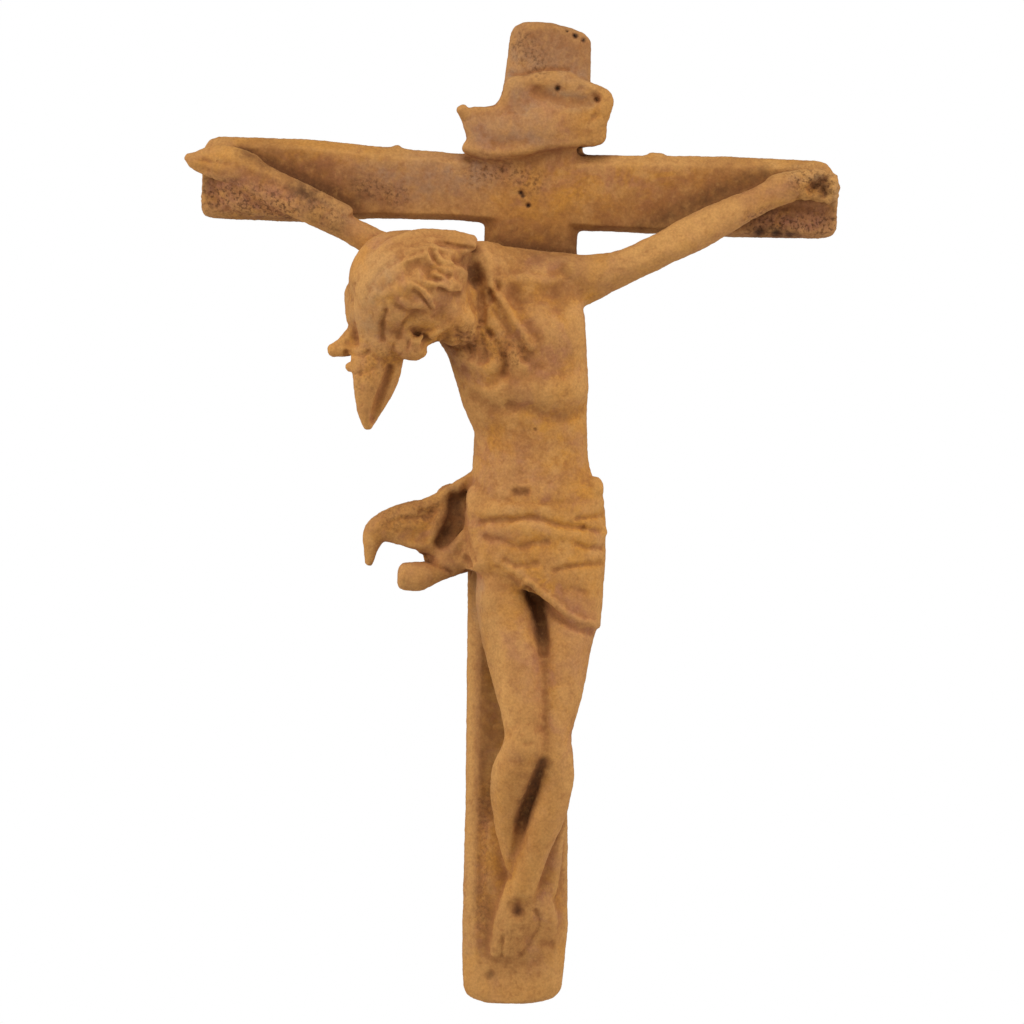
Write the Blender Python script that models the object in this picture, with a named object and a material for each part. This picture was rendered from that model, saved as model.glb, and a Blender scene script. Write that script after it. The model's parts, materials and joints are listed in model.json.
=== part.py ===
"""Cast iron crucifix: a bevelled cross, a bare scroll and a hanging figure, cast in one piece.

Metres, +Z up. The front faces -Y. The origin is on the flat back, where the beam crosses the upright.
"""
import math

import bmesh
import bpy
import numpy as np
from mathutils import Vector

# Sizes of the cross, in metres
UPRIGHT_ABOVE = 0.0543
UPRIGHT_BELOW = 0.2661
UPRIGHT_WIDTH_HEAD = 0.0262
UPRIGHT_WIDTH_CROSSING = 0.0300
UPRIGHT_WIDTH_FOOT = 0.0348
UPRIGHT_LEAN = 0.0042
BEAM_LEFT = 0.1115
BEAM_RIGHT = 0.0958
BEAM_HEIGHT_MIDDLE = 0.0225
BEAM_HEIGHT_END = 0.0268
CROSS_DEPTH = 0.0120
BEVEL_WIDTH = 0.0043
BEVEL_DEPTH = 0.0034
CORNER_CUT = 0.0080
CORNER_ROUND = 0.0036

# Sizes of the scroll, in metres
SCROLL_WIDTH = 0.0505
SCROLL_HEIGHT = 0.0260
SCROLL_DEPTH = 0.0052
SCROLL_LIFT = 0.0230

# Sizes of the figure, in metres; its pose and carving are counted in steps, a share of its height
FIGURE_HEIGHT = 0.2400
FIGURE_STEPS = 240
HAND_INSET_LEFT = 0.0058
HAND_INSET_RIGHT = 0.0062
HAND_LENGTH = 0.0150
NAIL_HOLE_WIDTH = 0.0040

# Fineness of the surface
VOXEL = 0.00075
TRIANGLES = 9300
SIDES = 16
RINGS = 20
STEP = FIGURE_HEIGHT / FIGURE_STEPS
FRONT = -CROSS_DEPTH
BACK_OVERRUN = 0.0020


def clear_scene():
    """Remove whatever the scene holds."""
    for item in list(bpy.data.objects):
        bpy.data.objects.remove(item, do_unlink=True)


def place(across, out, up):
    """A point of the figure: steps across, steps out from the cross's front, steps up."""
    return np.array((across * STEP, FRONT - out * STEP, up * STEP))


def smooth_values(values, shares):
    """Values of a list read along a Catmull-Rom curve at shares from 0 to 1."""
    table = np.atleast_2d(np.array(values, dtype=float))
    if table.shape[0] == 1:
        table = table.T
    spans = table.shape[0] - 1
    spot = np.clip(np.asarray(shares) * spans, 0, spans - 1e-9)
    index = spot.astype(int)
    t = (spot - index)[:, None]
    before = table[np.maximum(index - 1, 0)]
    first = table[index]
    second = table[index + 1]
    after = table[np.minimum(index + 2, spans)]
    bend = 2 * first + (second - before) * t
    bend = bend + (2 * before - 5 * first + 4 * second - after) * t ** 2
    bend = bend + (3 * first - before - 3 * second + after) * t ** 3
    return bend / 2


def limb(mesh, points, widths, depths=None, out=(0, -1, 0), sides=SIDES, rings=RINGS, roundness=1.0):
    """A sphere drawn out along a smooth curve, with half widths and half depths in metres."""
    depths = widths if depths is None else depths
    ball = bmesh.ops.create_uvsphere(mesh, u_segments=sides, v_segments=rings, radius=1.0)["verts"]
    unit = np.array([vert.co for vert in ball])
    shares = (1 - unit[:, 2]) / 2
    centre = smooth_values(points, shares)
    width = smooth_values(widths, shares)[:, 0]
    depth = smooth_values(depths, shares)[:, 0]
    ahead = smooth_values(points, np.minimum(shares + 0.02, 1))
    behind = smooth_values(points, np.maximum(shares - 0.02, 0))
    tangent = ahead - behind
    tangent /= np.linalg.norm(tangent, axis=1)[:, None]
    length = np.linalg.norm(np.diff(np.array(points), axis=0), axis=1).sum()
    end = np.minimum(shares, 1 - shares) * length
    reach = np.maximum(np.minimum(np.maximum(width, depth) * roundness, length / 2), 1e-6)
    gap = np.clip(1 - end / reach, 0, 1)
    cap = np.sqrt(np.clip(1 - gap ** 2, 0, 1))
    outward = np.array(out, dtype=float) - tangent * (tangent @ np.array(out, dtype=float))[:, None]
    outward /= np.linalg.norm(outward, axis=1)[:, None]
    sideways = np.cross(outward, tangent)
    circle = unit[:, :2] / np.maximum(np.linalg.norm(unit[:, :2], axis=1), 1e-9)[:, None]
    circle[np.abs(unit[:, 2]) > 0.9999] = 0
    spot = centre + sideways * (circle[:, 0] * width * cap)[:, None]
    spot += outward * (circle[:, 1] * depth * cap)[:, None]
    for vert, where in zip(ball, spot):
        vert.co = where


def body_limb(mesh, stations, sides=SIDES, rings=RINGS, roundness=1.0):
    """A limb from stations of the figure: across, out, up, half width, half depth, all in steps."""
    points = [place(*station[:3]) for station in stations]
    widths = [station[3] * STEP for station in stations]
    depths = [station[-1] * STEP for station in stations]
    limb(mesh, points, widths, depths, sides=sides, rings=rings, roundness=roundness)


def mass(mesh, centre, radii, turn=0.0):
    """An ellipsoid at a figure point, radii in steps, turned in the front view by an angle in degrees."""
    ball = bmesh.ops.create_uvsphere(mesh, u_segments=SIDES, v_segments=RINGS // 2, radius=1.0)["verts"]
    angle = math.radians(turn)
    middle = Vector(place(*centre))
    for vert in ball:
        x = vert.co.x * radii[0] * STEP
        y = vert.co.y * radii[1] * STEP
        z = vert.co.z * radii[2] * STEP
        turned = Vector((x * math.cos(angle) - z * math.sin(angle), y, x * math.sin(angle) + z * math.cos(angle)))
        vert.co = middle + turned


def bar(mesh, stations, upright, bevels):
    """A bevelled bar from stations of place along it, low edge and high edge, in metres."""
    rings = []
    for along, low, high in stations:
        low_bevel = min(bevels[0], (high - low) * 0.3)
        high_bevel = min(bevels[1], (high - low) * 0.3)
        shoulder = FRONT + BEVEL_DEPTH
        section = [
            (low, BACK_OVERRUN),
            (high, BACK_OVERRUN),
            (high, shoulder),
            (high - high_bevel, FRONT),
            (low + low_bevel, FRONT),
            (low, shoulder),
        ]
        if upright:
            rings.append([mesh.verts.new((edge, depth, along)) for edge, depth in section])
        else:
            rings.append([mesh.verts.new((along, depth, edge)) for edge, depth in section])
    faces = []
    for first, second in zip(rings, rings[1:]):
        for index in range(len(first)):
            after = (index + 1) % len(first)
            faces.append(mesh.faces.new((first[index], first[after], second[after], second[index])))
    faces.append(mesh.faces.new(list(reversed(rings[0]))))
    faces.append(mesh.faces.new(rings[-1]))
    bmesh.ops.recalc_face_normals(mesh, faces=faces)


def add_upright(mesh):
    """The upright: wider towards the foot, with a worn top that slopes down to the right."""
    half_head = UPRIGHT_WIDTH_HEAD / 2
    half_crossing = UPRIGHT_WIDTH_CROSSING / 2
    half_foot = UPRIGHT_WIDTH_FOOT / 2
    top = UPRIGHT_ABOVE
    foot = -UPRIGHT_BELOW
    foot_lean = -UPRIGHT_LEAN * 0.3
    stations = [
        (foot, foot_lean - half_foot * 0.50, foot_lean + half_foot * 0.20),
        (foot + CORNER_ROUND * 0.3, foot_lean - half_foot * 0.72, foot_lean + half_foot * 0.60),
        (foot + CORNER_ROUND * 0.7, foot_lean - half_foot * 0.84, foot_lean + half_foot * 0.80),
        (foot + CORNER_ROUND * 1.4, foot_lean - half_foot * 0.91, foot_lean + half_foot * 0.92),
        (foot + CORNER_ROUND * 4, foot_lean - half_foot * 0.95, foot_lean + half_foot * 0.96),
        (foot + CORNER_ROUND * 7, foot_lean - half_foot * 0.98, foot_lean + half_foot * 1.03),
        (foot * 0.76, foot_lean - half_foot, foot_lean + half_foot * 0.95),
        (foot * 0.45, -UPRIGHT_LEAN - half_foot * 0.94, -UPRIGHT_LEAN + half_foot * 1.04),
        (0.0, -UPRIGHT_LEAN - half_crossing, -UPRIGHT_LEAN + half_crossing),
        (top * 0.65, -half_head * 1.08, half_head * 1.06),
        (top * 0.90, -half_head * 0.98, half_head * 1.03),
        (top * 0.945, -half_head * 0.95, half_head * 0.87),
        (top * 0.975, -half_head * 0.86, half_head * 0.50),
        (top, -half_head * 0.62, half_head * 0.05),
    ]
    bar(mesh, stations, True, (BEVEL_WIDTH, BEVEL_WIDTH * 0.75))


def add_beam(mesh):
    """The beam: a little higher at its ends, its upper left corner cut off."""
    half_end = BEAM_HEIGHT_END / 2
    half_middle = BEAM_HEIGHT_MIDDLE / 2
    left = -BEAM_LEFT
    right = BEAM_RIGHT
    stations = [
        (left, -half_end + CORNER_ROUND * 0.6, half_end - CORNER_CUT * 0.40),
        (left + CORNER_CUT * 0.22, -half_end + CORNER_ROUND * 0.1, half_end - CORNER_CUT * 0.14),
        (left + CORNER_CUT * 0.55, -half_end, half_end),
        (left * 0.70, -half_end, half_end + CORNER_ROUND * 0.05),
        (left * 0.50, -half_middle - CORNER_ROUND * 0.1, half_middle + CORNER_ROUND * 0.3),
        (left * 0.25, -half_middle, half_middle - CORNER_ROUND * 0.1),
        (right * 0.16, -half_middle * 1.15, half_middle + CORNER_ROUND * 0.1),
        (right * 0.60, -half_end, half_end - CORNER_ROUND * 0.2),
        (right - CORNER_ROUND * 1.2, -half_end + CORNER_ROUND * 0.2, half_end - CORNER_ROUND * 0.5),
        (right, -half_end + CORNER_ROUND * 1.2, half_end - CORNER_ROUND * 1.6),
    ]
    bar(mesh, stations, False, (BEVEL_WIDTH * 0.35, BEVEL_WIDTH * 0.75))


def scroll_point(across, up, out):
    """A point on the scroll: shares of its width and height from its middle, shares of its depth."""
    x = across * SCROLL_WIDTH - UPRIGHT_LEAN
    z = up * SCROLL_HEIGHT + SCROLL_LIFT
    return np.array((x, FRONT - out * SCROLL_DEPTH, z))


def pillow(mesh, outline, rim, crown):
    """A closed cushion over a smooth outline: its rim and its crown are depths from the cross's front."""
    closed = outline[-1:] + outline + outline[:2]
    shares = np.linspace(1, len(closed) - 2, 8 * len(outline), endpoint=False) / (len(closed) - 1)
    edge = smooth_values(closed, shares)
    middle = edge.mean(axis=0)
    rings = []
    for scale, depth in ((1.0, -1.0), (1.0, 0.0), (0.97, 0.45), (0.90, 0.75), (0.76, 0.92), (0.4, 1.0)):
        ring = middle + (edge - middle) * scale
        out = rim + (crown - rim) * depth if depth >= 0 else -BEVEL_DEPTH
        rings.append([mesh.verts.new((x, FRONT - out, z)) for x, z in ring])
    faces = []
    for first, second in zip(rings, rings[1:]):
        for index in range(len(first)):
            after = (index + 1) % len(first)
            faces.append(mesh.faces.new((first[index], first[after], second[after], second[index])))
    faces.append(mesh.faces.new(rings[0]))
    faces.append(mesh.faces.new(list(reversed(rings[-1]))))
    bmesh.ops.recalc_face_normals(mesh, faces=faces)


def add_scroll(mesh):
    """The scroll over the beam: a bowed band with a rolled lower edge, a knob at its left and a lobe at its right."""
    half = SCROLL_HEIGHT / 2
    deep = SCROLL_DEPTH
    shares = [
        (-0.42, 0.10), (-0.32, 0.14), (-0.22, 0.32), (-0.17, 0.50), (0.00, 0.58), (0.22, 0.60),
        (0.36, 0.42), (0.44, 0.32), (0.47, 0.16), (0.44, -0.08), (0.43, -0.24), (0.34, -0.34),
        (0.12, -0.38), (-0.10, -0.52), (-0.30, -0.54), (-0.45, -0.46), (-0.42, -0.28), (-0.45, -0.12),
    ]
    outline = [tuple(scroll_point(across, up, 0)[[0, 2]]) for across, up in shares]
    pillow(mesh, outline, deep * 0.35, deep * 0.8)
    swell = [
        scroll_point(-0.30, -0.10, 0.2),
        scroll_point(-0.10, -0.04, 0.45),
        scroll_point(0.10, 0.06, 0.5),
        scroll_point(0.36, 0.08, 0.2),
    ]
    limb(mesh, swell, [half * 0.5, half * 0.6, half * 0.6, half * 0.5], [deep * 0.75] * 4)
    brow = [
        scroll_point(-0.14, 0.42, 0.2),
        scroll_point(0.04, 0.48, 0.45),
        scroll_point(0.24, 0.48, 0.4),
        scroll_point(0.42, 0.30, 0.2),
    ]
    limb(mesh, brow, [half * 0.22, half * 0.26, half * 0.26, half * 0.26], [deep * 0.6] * 4)
    roll = [
        scroll_point(-0.47, -0.42, 0.3),
        scroll_point(-0.25, -0.48, 0.5),
        scroll_point(-0.05, -0.42, 0.6),
        scroll_point(0.12, -0.31, 0.6),
        scroll_point(0.34, -0.27, 0.4),
    ]
    limb(mesh, roll, [half * 0.14] * 5, [deep * 0.5] * 5)
    knob = [scroll_point(-0.40, -0.06, 0.1), scroll_point(-0.44, 0.06, 0.4), scroll_point(-0.50, 0.16, 0.6)]
    limb(mesh, knob, [half * 0.22, half * 0.17, half * 0.12])
    lobe = [
        scroll_point(0.36, -0.26, 0.2),
        scroll_point(0.42, -0.14, 0.5),
        scroll_point(0.435, 0.14, 0.6),
        scroll_point(0.40, 0.32, 0.4),
    ]
    limb(mesh, lobe, [half * 0.20, half * 0.20, half * 0.24, half * 0.18])


def add_torso(mesh):
    """The trunk: shoulders, chest with its arch of ribs, narrow waist and hips."""
    trunk = [
        (-14, 5, -20, 14, 5),
        (-15, 7, -27, 27, 8),
        (-11, 9, -38, 27, 11),
        (-7.8, 9.5, -48, 24.0, 12.5),
        (-5.6, 9.5, -58, 22.6, 12),
        (-3.6, 9, -68, 20.8, 11.4),
        (-1.7, 7.5, -78, 18.2, 9.6),
        (-1.2, 7, -87, 18.4, 9.4),
        (-0.8, 7.5, -95, 19.6, 10.4),
        (0.6, 8, -106, 23, 11.4),
        (1.2, 8, -118, 22.6, 11),
        (1.6, 8, -130, 19.5, 9),
    ]
    body_limb(mesh, trunk, sides=28, rings=40, roundness=0.4)
    mass(mesh, (3, 15, -45), (12, 6.5, 9), 12)
    mass(mesh, (-19, 15, -47), (12, 6.5, 9), -12)
    mass(mesh, (6, 12, -62), (10, 8, 11), 20)
    mass(mesh, (-17, 12, -64), (9, 7.5, 11), -18)
    mass(mesh, (-2, 11, -86), (10, 7, 12), 0)
    body_limb(mesh, [(-30, 8, -29, 8), (-18, 12, -27, 8), (-4, 9, -27, 7), (10, 8, -28, 7), (18, 8, -29, 7)])


def add_arm(mesh, shoulder, wrist, stations):
    """An arm from shoulder to wrist by share of the way, sag, out, half width and half depth."""
    points = []
    for share, sag, out in [station[:3] for station in stations]:
        spot = shoulder + (wrist - shoulder) * share
        spot[1] = FRONT - out * STEP
        spot[2] += sag * STEP
        points.append(spot)
    widths = [station[3] * STEP for station in stations]
    depths = [station[4] * STEP for station in stations]
    limb(mesh, points, widths, depths, rings=32)


def left_wrist():
    """The wrist at the beam's left end."""
    return np.array((-BEAM_LEFT + HAND_INSET_LEFT + HAND_LENGTH * 0.38, FRONT, BEAM_HEIGHT_END * 0.13))


def right_wrist():
    """The wrist at the beam's right end."""
    return np.array((BEAM_RIGHT - HAND_INSET_RIGHT - HAND_LENGTH * 0.45, FRONT, BEAM_HEIGHT_END * 0.12))


def add_arms(mesh):
    """Both arms, drawn up and out to the ends of the beam."""
    left = [
        (0.00, 0.0, 8, 8.0, 7.5),
        (0.20, -1.0, 8, 6.6, 6.6),
        (0.41, -1.4, 8, 4.9, 5.6),
        (0.55, -1.6, 8, 5.0, 5.4),
        (0.70, -1.4, 7, 5.6, 5.4),
        (0.84, -1.0, 5, 4.9, 4.4),
        (1.00, 0.0, 3, 4.2, 3.4),
    ]
    add_arm(mesh, place(-36, 0, -28), left_wrist(), left)
    right = [
        (0.00, 0.0, 8, 7.6, 7.6),
        (0.18, -2.2, 9, 5.9, 6.6),
        (0.36, -1.2, 9, 5.5, 6.0),
        (0.50, -0.4, 8, 6.1, 6.0),
        (0.66, 0.7, 7, 5.7, 5.4),
        (0.84, 1.4, 5, 4.3, 4.2),
        (1.00, 0.6, 3, 4.4, 3.6),
    ]
    add_arm(mesh, place(14, 0, -29), right_wrist(), right)


def add_left_hand(mesh):
    """The hand at the beam's left end, its fingers worn to points past the end."""
    wrist = left_wrist()
    size = HAND_LENGTH / 15
    palm = [(4, -3.0, -0.6), (-2, -3.6, 0.6), (-7, -4.4, 1.6), (-11.5, -4.4, 1.8)]
    palm = [wrist + np.array(point) * size for point in palm]
    limb(mesh, palm, [4.4 * size, 4.6 * size, 5.4 * size, 4.2 * size], [3.4 * size] * 4)
    fingers = [
        [(-6, -5, 4.0), (-10, -5.6, 4.2), (-13.4, -5.2, 3.8), (-17.6, -4.4, 3.3)],
        [(-6, -5, 1.6), (-10, -5.4, 1.4), (-13.4, -4.8, 1.0), (-17.0, -4.2, 0.7)],
        [(-5, -4.4, -1.4), (-8, -4.6, -1.4), (-11, -4.4, -1.6), (-14.6, -4, -1.9)],
    ]
    for finger in fingers:
        points = [wrist + np.array(point) * size for point in finger]
        limb(mesh, points, [2.0 * size, 1.9 * size, 1.8 * size, 0.9 * size])


def add_right_hand(mesh):
    """The hand at the beam's right end, closed round a worn hollow."""
    wrist = right_wrist()
    size = HAND_LENGTH / 15
    palm = [(-3, -3.0, -0.4), (3, -3.2, 0.0), (7, -3.2, 0.2), (12.6, -3.0, -0.6)]
    palm = [wrist + np.array(point) * size for point in palm]
    limb(mesh, palm, [4.2 * size, 4.8 * size, 5.6 * size, 4.8 * size], [3.4 * size] * 4)
    knuckles = [
        [(4, -5, 3.8), (7.6, -7, 4.4), (10.4, -6, 3.4)],
        [(9, -6, 3.8), (12, -6, 2.4), (12.2, -5, -0.8)],
        [(11.6, -5, -0.6), (11.0, -4, -3.8), (8.8, -3, -5.6)],
        [(4, -5, -3.6), (7, -6, -4.6), (9.4, -5, -4.4)],
    ]
    for knuckle in knuckles:
        points = [wrist + np.array(point) * size for point in knuckle]
        limb(mesh, points, [2.3 * size, 2.0 * size, 1.3 * size])


# The head: its middle in steps, its size, and the directions of its crown and its face
HEAD_MIDDLE = (-41.5, 22.5, -35.6)
HEAD_SIZE = 1.08
HEAD_UP = np.array((-0.93, -0.24, 0.27))
HEAD_FACE = np.array((-0.16, -0.50, -0.85))
HAIR_MIDDLE = (-43.4, 21.0, -31.8)
HAIR_RADII = (19.8, 18.6, 17.0)


def head_axes():
    """The head's own directions: side, face and crown."""
    up = HEAD_UP / np.linalg.norm(HEAD_UP)
    face = HEAD_FACE - up * (HEAD_FACE @ up)
    face /= np.linalg.norm(face)
    return np.cross(face, up), face, up


def on_head(side, face, up):
    """A point of the head, along its own directions from its middle."""
    axes = head_axes()
    spot = axes[0] * side + axes[1] * face + axes[2] * up
    return place(*HEAD_MIDDLE) + spot * HEAD_SIZE * STEP


def head_mass(mesh, centre, radii):
    """An ellipsoid laid along the head's own directions."""
    axes = head_axes()
    ball = bmesh.ops.create_uvsphere(mesh, u_segments=SIDES, v_segments=RINGS // 2, radius=1.0)["verts"]
    middle = on_head(*centre)
    for vert in ball:
        spot = axes[0] * vert.co.x * radii[0] + axes[1] * vert.co.y * radii[1] + axes[2] * vert.co.z * radii[2]
        vert.co = middle + spot * HEAD_SIZE * STEP


def head_limb(mesh, points, widths, depths=None):
    """A limb along points of the head."""
    size = HEAD_SIZE * STEP
    spots = [on_head(*point) for point in points]
    half_widths = [width * size for width in widths]
    half_depths = None if depths is None else [depth * size for depth in depths]
    limb(mesh, spots, half_widths, half_depths, out=head_axes()[1])


def add_head(mesh):
    """The bowed head with a calm, plain face on the usual proportions, and the neck."""
    head_mass(mesh, (0, -2, 5), (14, 16, 15))
    head_mass(mesh, (0, 3, -6), (10, 10.5, 13))
    head_mass(mesh, (0, 11.6, 3.2), (7.5, 2.6, 2.2))
    for side in (-1, 1):
        head_mass(mesh, (side * 6.2, 9.2, -3.4), (3.4, 3.2, 3.0))
        head_mass(mesh, (side * 4.2, 11.4, 0.4), (2.3, 1.5, 1.4))
        head_limb(mesh, [(0, 13.4, -7.4), (side * 3.4, 12.6, -9.0), (side * 6.4, 9.6, -12)], [1.3, 1.4, 0.8])
    head_limb(mesh, [(0, 12.4, 2.2), (0, 15.0, -2.0), (0, 16.4, -5.0)], [1.2, 1.5, 1.9])
    head_mass(mesh, (0, 12.6, -9.6), (3.0, 1.6, 1.0))
    head_mass(mesh, (0, 9, -15), (6.4, 5.0, 5.2))
    head_limb(mesh, [(1.5, 9, -16), (1.5, 8.4, -20), (0.5, 7, -23)], [3.2, 2.4, 1.0])
    head_limb(mesh, [(-2.5, 8, -15), (-3.0, 7, -19), (-2.5, 6, -22)], [3.0, 2.2, 0.9])
    body_limb(mesh, [(-30, 16, -30, 9, 9), (-20, 12, -27, 8.5, 8.5), (-10, 8, -27, 9, 8)])


def hair_lock(mesh, line, widths, rise):
    """A lock that lies on the hair's dome: points across and up, half widths, and how far it stands out."""
    stations = []
    for (across, up), width in zip(line, widths):
        flat = ((across - HAIR_MIDDLE[0]) / HAIR_RADII[0]) ** 2 + ((up - HAIR_MIDDLE[2]) / HAIR_RADII[2]) ** 2
        out = HAIR_MIDDLE[1] + HAIR_RADII[1] * math.sqrt(max(1 - flat, 0.12))
        stations.append((across, out + rise - width, up, width, width))
    body_limb(mesh, stations)


def add_hair(mesh):
    """The long hair: a dome with waves at its side, a tuft, a hanging lock and locks on the chest."""
    mass(mesh, HAIR_MIDDLE, HAIR_RADII)
    mass(mesh, (-53.0, 22, -42), (9.4, 11, 12.6), 8)
    mass(mesh, (-51.5, 23, -51), (8.4, 8, 9))
    hanging = [
        [(-54, 23, -48, 6.0, 5), (-54.8, 24, -57, 6.4, 4.4), (-55.2, 23.6, -66, 4.6, 3.8), (-55.2, 23, -74, 3.2, 2.8),
         (-54.4, 22, -81, 1.3, 1.4)],
        [(-48, 24, -50, 4.6, 4), (-47.8, 22.5, -58, 3.8, 3.4), (-49.2, 22, -66, 3.0, 2.8),
         (-52, 22, -75, 2.0, 2.0), (-53.6, 22, -81, 1.0, 1.2)],
        [(-58, 20, -46, 4.6, 4), (-62.0, 20, -52.0, 4.2, 3.4), (-65.6, 19, -54.4, 3.2, 2.4), (-69.4, 18.6, -55.6, 2.0, 1.6)],
        [(-60.5, 16, -31, 2.0, 5), (-62.0, 18, -37, 2.0, 6), (-60.4, 20, -45, 2.2, 5), (-58, 22, -52, 2.4, 4)],
        [(-52, 24, -44, 3.4, 4), (-46.0, 26, -51.4, 3.8, 3.6), (-41.0, 27, -53.7, 2.8, 2.6), (-36.0, 27, -53.6, 1.6, 1.6)],
    ]
    for lock in hanging:
        body_limb(mesh, lock)
    waves = [
        ([(-22, -17.6), (-31, -17.6), (-40, -17.4), (-50, -20.5), (-57, -28)], [2.6, 3.0, 3.0, 2.8, 1.6], 0.9),
        ([(-21, -22), (-28, -21.4), (-35, -22), (-43, -24.4), (-52, -31)], [2.4, 2.4, 2.2, 2.4, 2.0], 1.2),
        ([(-24, -26.4), (-30, -25.4), (-35, -27.4), (-40.6, -30.4), (-49, -36)], [2.0, 2.2, 2.0, 2.0, 1.8], 1.5),
        ([(-25, -31), (-30, -31.4), (-36, -33.4), (-42, -37), (-48, -42)], [2.0, 2.0, 1.8, 1.8, 1.8], 1.3),
        ([(-24.4, -36), (-29, -36.6), (-34, -39.4), (-39, -43.4)], [1.8, 1.8, 1.6, 1.4], 1.1),
        ([(-23, -20), (-22.4, -26), (-24.4, -32), (-23.4, -38), (-22, -43)], [2.2, 2.0, 1.8, 1.8, 1.4], 1.2),
    ]
    for line, widths, rise in waves:
        hair_lock(mesh, line, widths, rise)
    shoulder = [
        [(-19.6, 14, -17.6, 2.0, 3), (-16.4, 18, -23, 2.4, 3), (-14.5, 20, -30, 2.2, 3), (-11, 20, -37, 2.2, 3)],
        [(-15, 18.5, -29, 2.2, 3), (-10, 20.4, -37, 2.2, 2.6), (-6, 20.6, -44, 2.0, 2.4), (-2.0, 20.6, -52, 1.2, 1.4)],
        [(-17, 19.6, -40, 2.2, 3), (-13, 20.6, -46, 2.8, 3), (-8, 20.8, -53, 3.2, 2.6), (-4, 20.2, -60.6, 1.8, 1.8)],
        [(-20, 20, -44, 2.6, 3), (-18, 20.6, -50, 3.2, 3), (-15.5, 20.4, -56, 3.2, 2.4), (-13, 19.8, -61, 1.6, 1.6)],
    ]
    for lock in shoulder:
        body_limb(mesh, lock)


def add_legs(mesh):
    """The legs: knees a little bent and forward, the shins crossed, one foot over the other."""
    left = [
        (-8, 8, -116, 11, 9.5),
        (-7.2, 9, -137, 10.2, 9.4),
        (-4.6, 12, -150, 9.8, 9),
        (-1.8, 15.5, -164, 8.4, 8.2),
        (0.2, 18.5, -176, 7.2, 7.4),
        (0.0, 19.0, -183, 7.6, 7.6),
        (-3.0, 14.5, -192, 7.6, 7.6),
        (-4.0, 9.5, -203, 6.0, 6.4),
        (-2.6, 6.0, -214, 4.4, 5.0),
        (1.2, 3.5, -225, 4.2, 4.6),
        (3.6, 3.0, -232, 4.4, 4.4),
    ]
    right = [
        (12, 8, -118, 11.5, 10),
        (12.8, 9, -137, 9.8, 9.4),
        (12.0, 11, -150, 8.4, 8.8),
        (10.8, 13.5, -164, 7.4, 7.8),
        (9.0, 16, -176, 6.4, 7.0),
        (8.9, 16.5, -184, 6.8, 7.0),
        (10.0, 13.5, -193, 6.4, 7.0),
        (8.0, 12.0, -204, 6.0, 6.4),
        (5.0, 10.5, -214, 4.9, 5.2),
        (2.4, 9.0, -223, 4.4, 4.6),
        (0.8, 8.0, -230, 4.6, 4.4),
    ]
    body_limb(mesh, left, rings=44)
    body_limb(mesh, right, rings=44)


def add_feet(mesh):
    """The crossed feet, flattened on to the upright, with their toes."""
    over = [(1.6, 7.5, -227, 4.6, 4.4), (-0.8, 6.5, -236, 5.4, 4.2), (-3.0, 4.5, -244, 5.4, 3.0), (-3.4, 3.4, -249, 4.6, 2.2)]
    under = [(6.2, 3, -229, 4.6, 4.4), (8.2, 3, -235, 4.4, 4.0), (6.4, 2.4, -242, 4.2, 3.0), (4.4, 1.8, -247, 3.2, 2.0)]
    body_limb(mesh, over)
    body_limb(mesh, under)
    toe_count = 5
    for toe in range(toe_count):
        share = toe / (toe_count - 1)
        across = -7.0 + 8.6 * share
        tip = -250.6 + 2.6 * share
        width = 1.7 - 0.5 * share
        body_limb(mesh, [(across + 0.8, 3.6, -245, width, 1.8), (across, 2.8, tip, width, 1.5)], sides=10, rings=10)


# The loincloth's hem, seen from the front: across and up, in steps
HEM = [(-21, -125.2), (-12, -125.6), (-6, -126.6), (-1, -129.4), (5, -134), (12, -138.6), (18, -141.4), (24, -143.4)]


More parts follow.
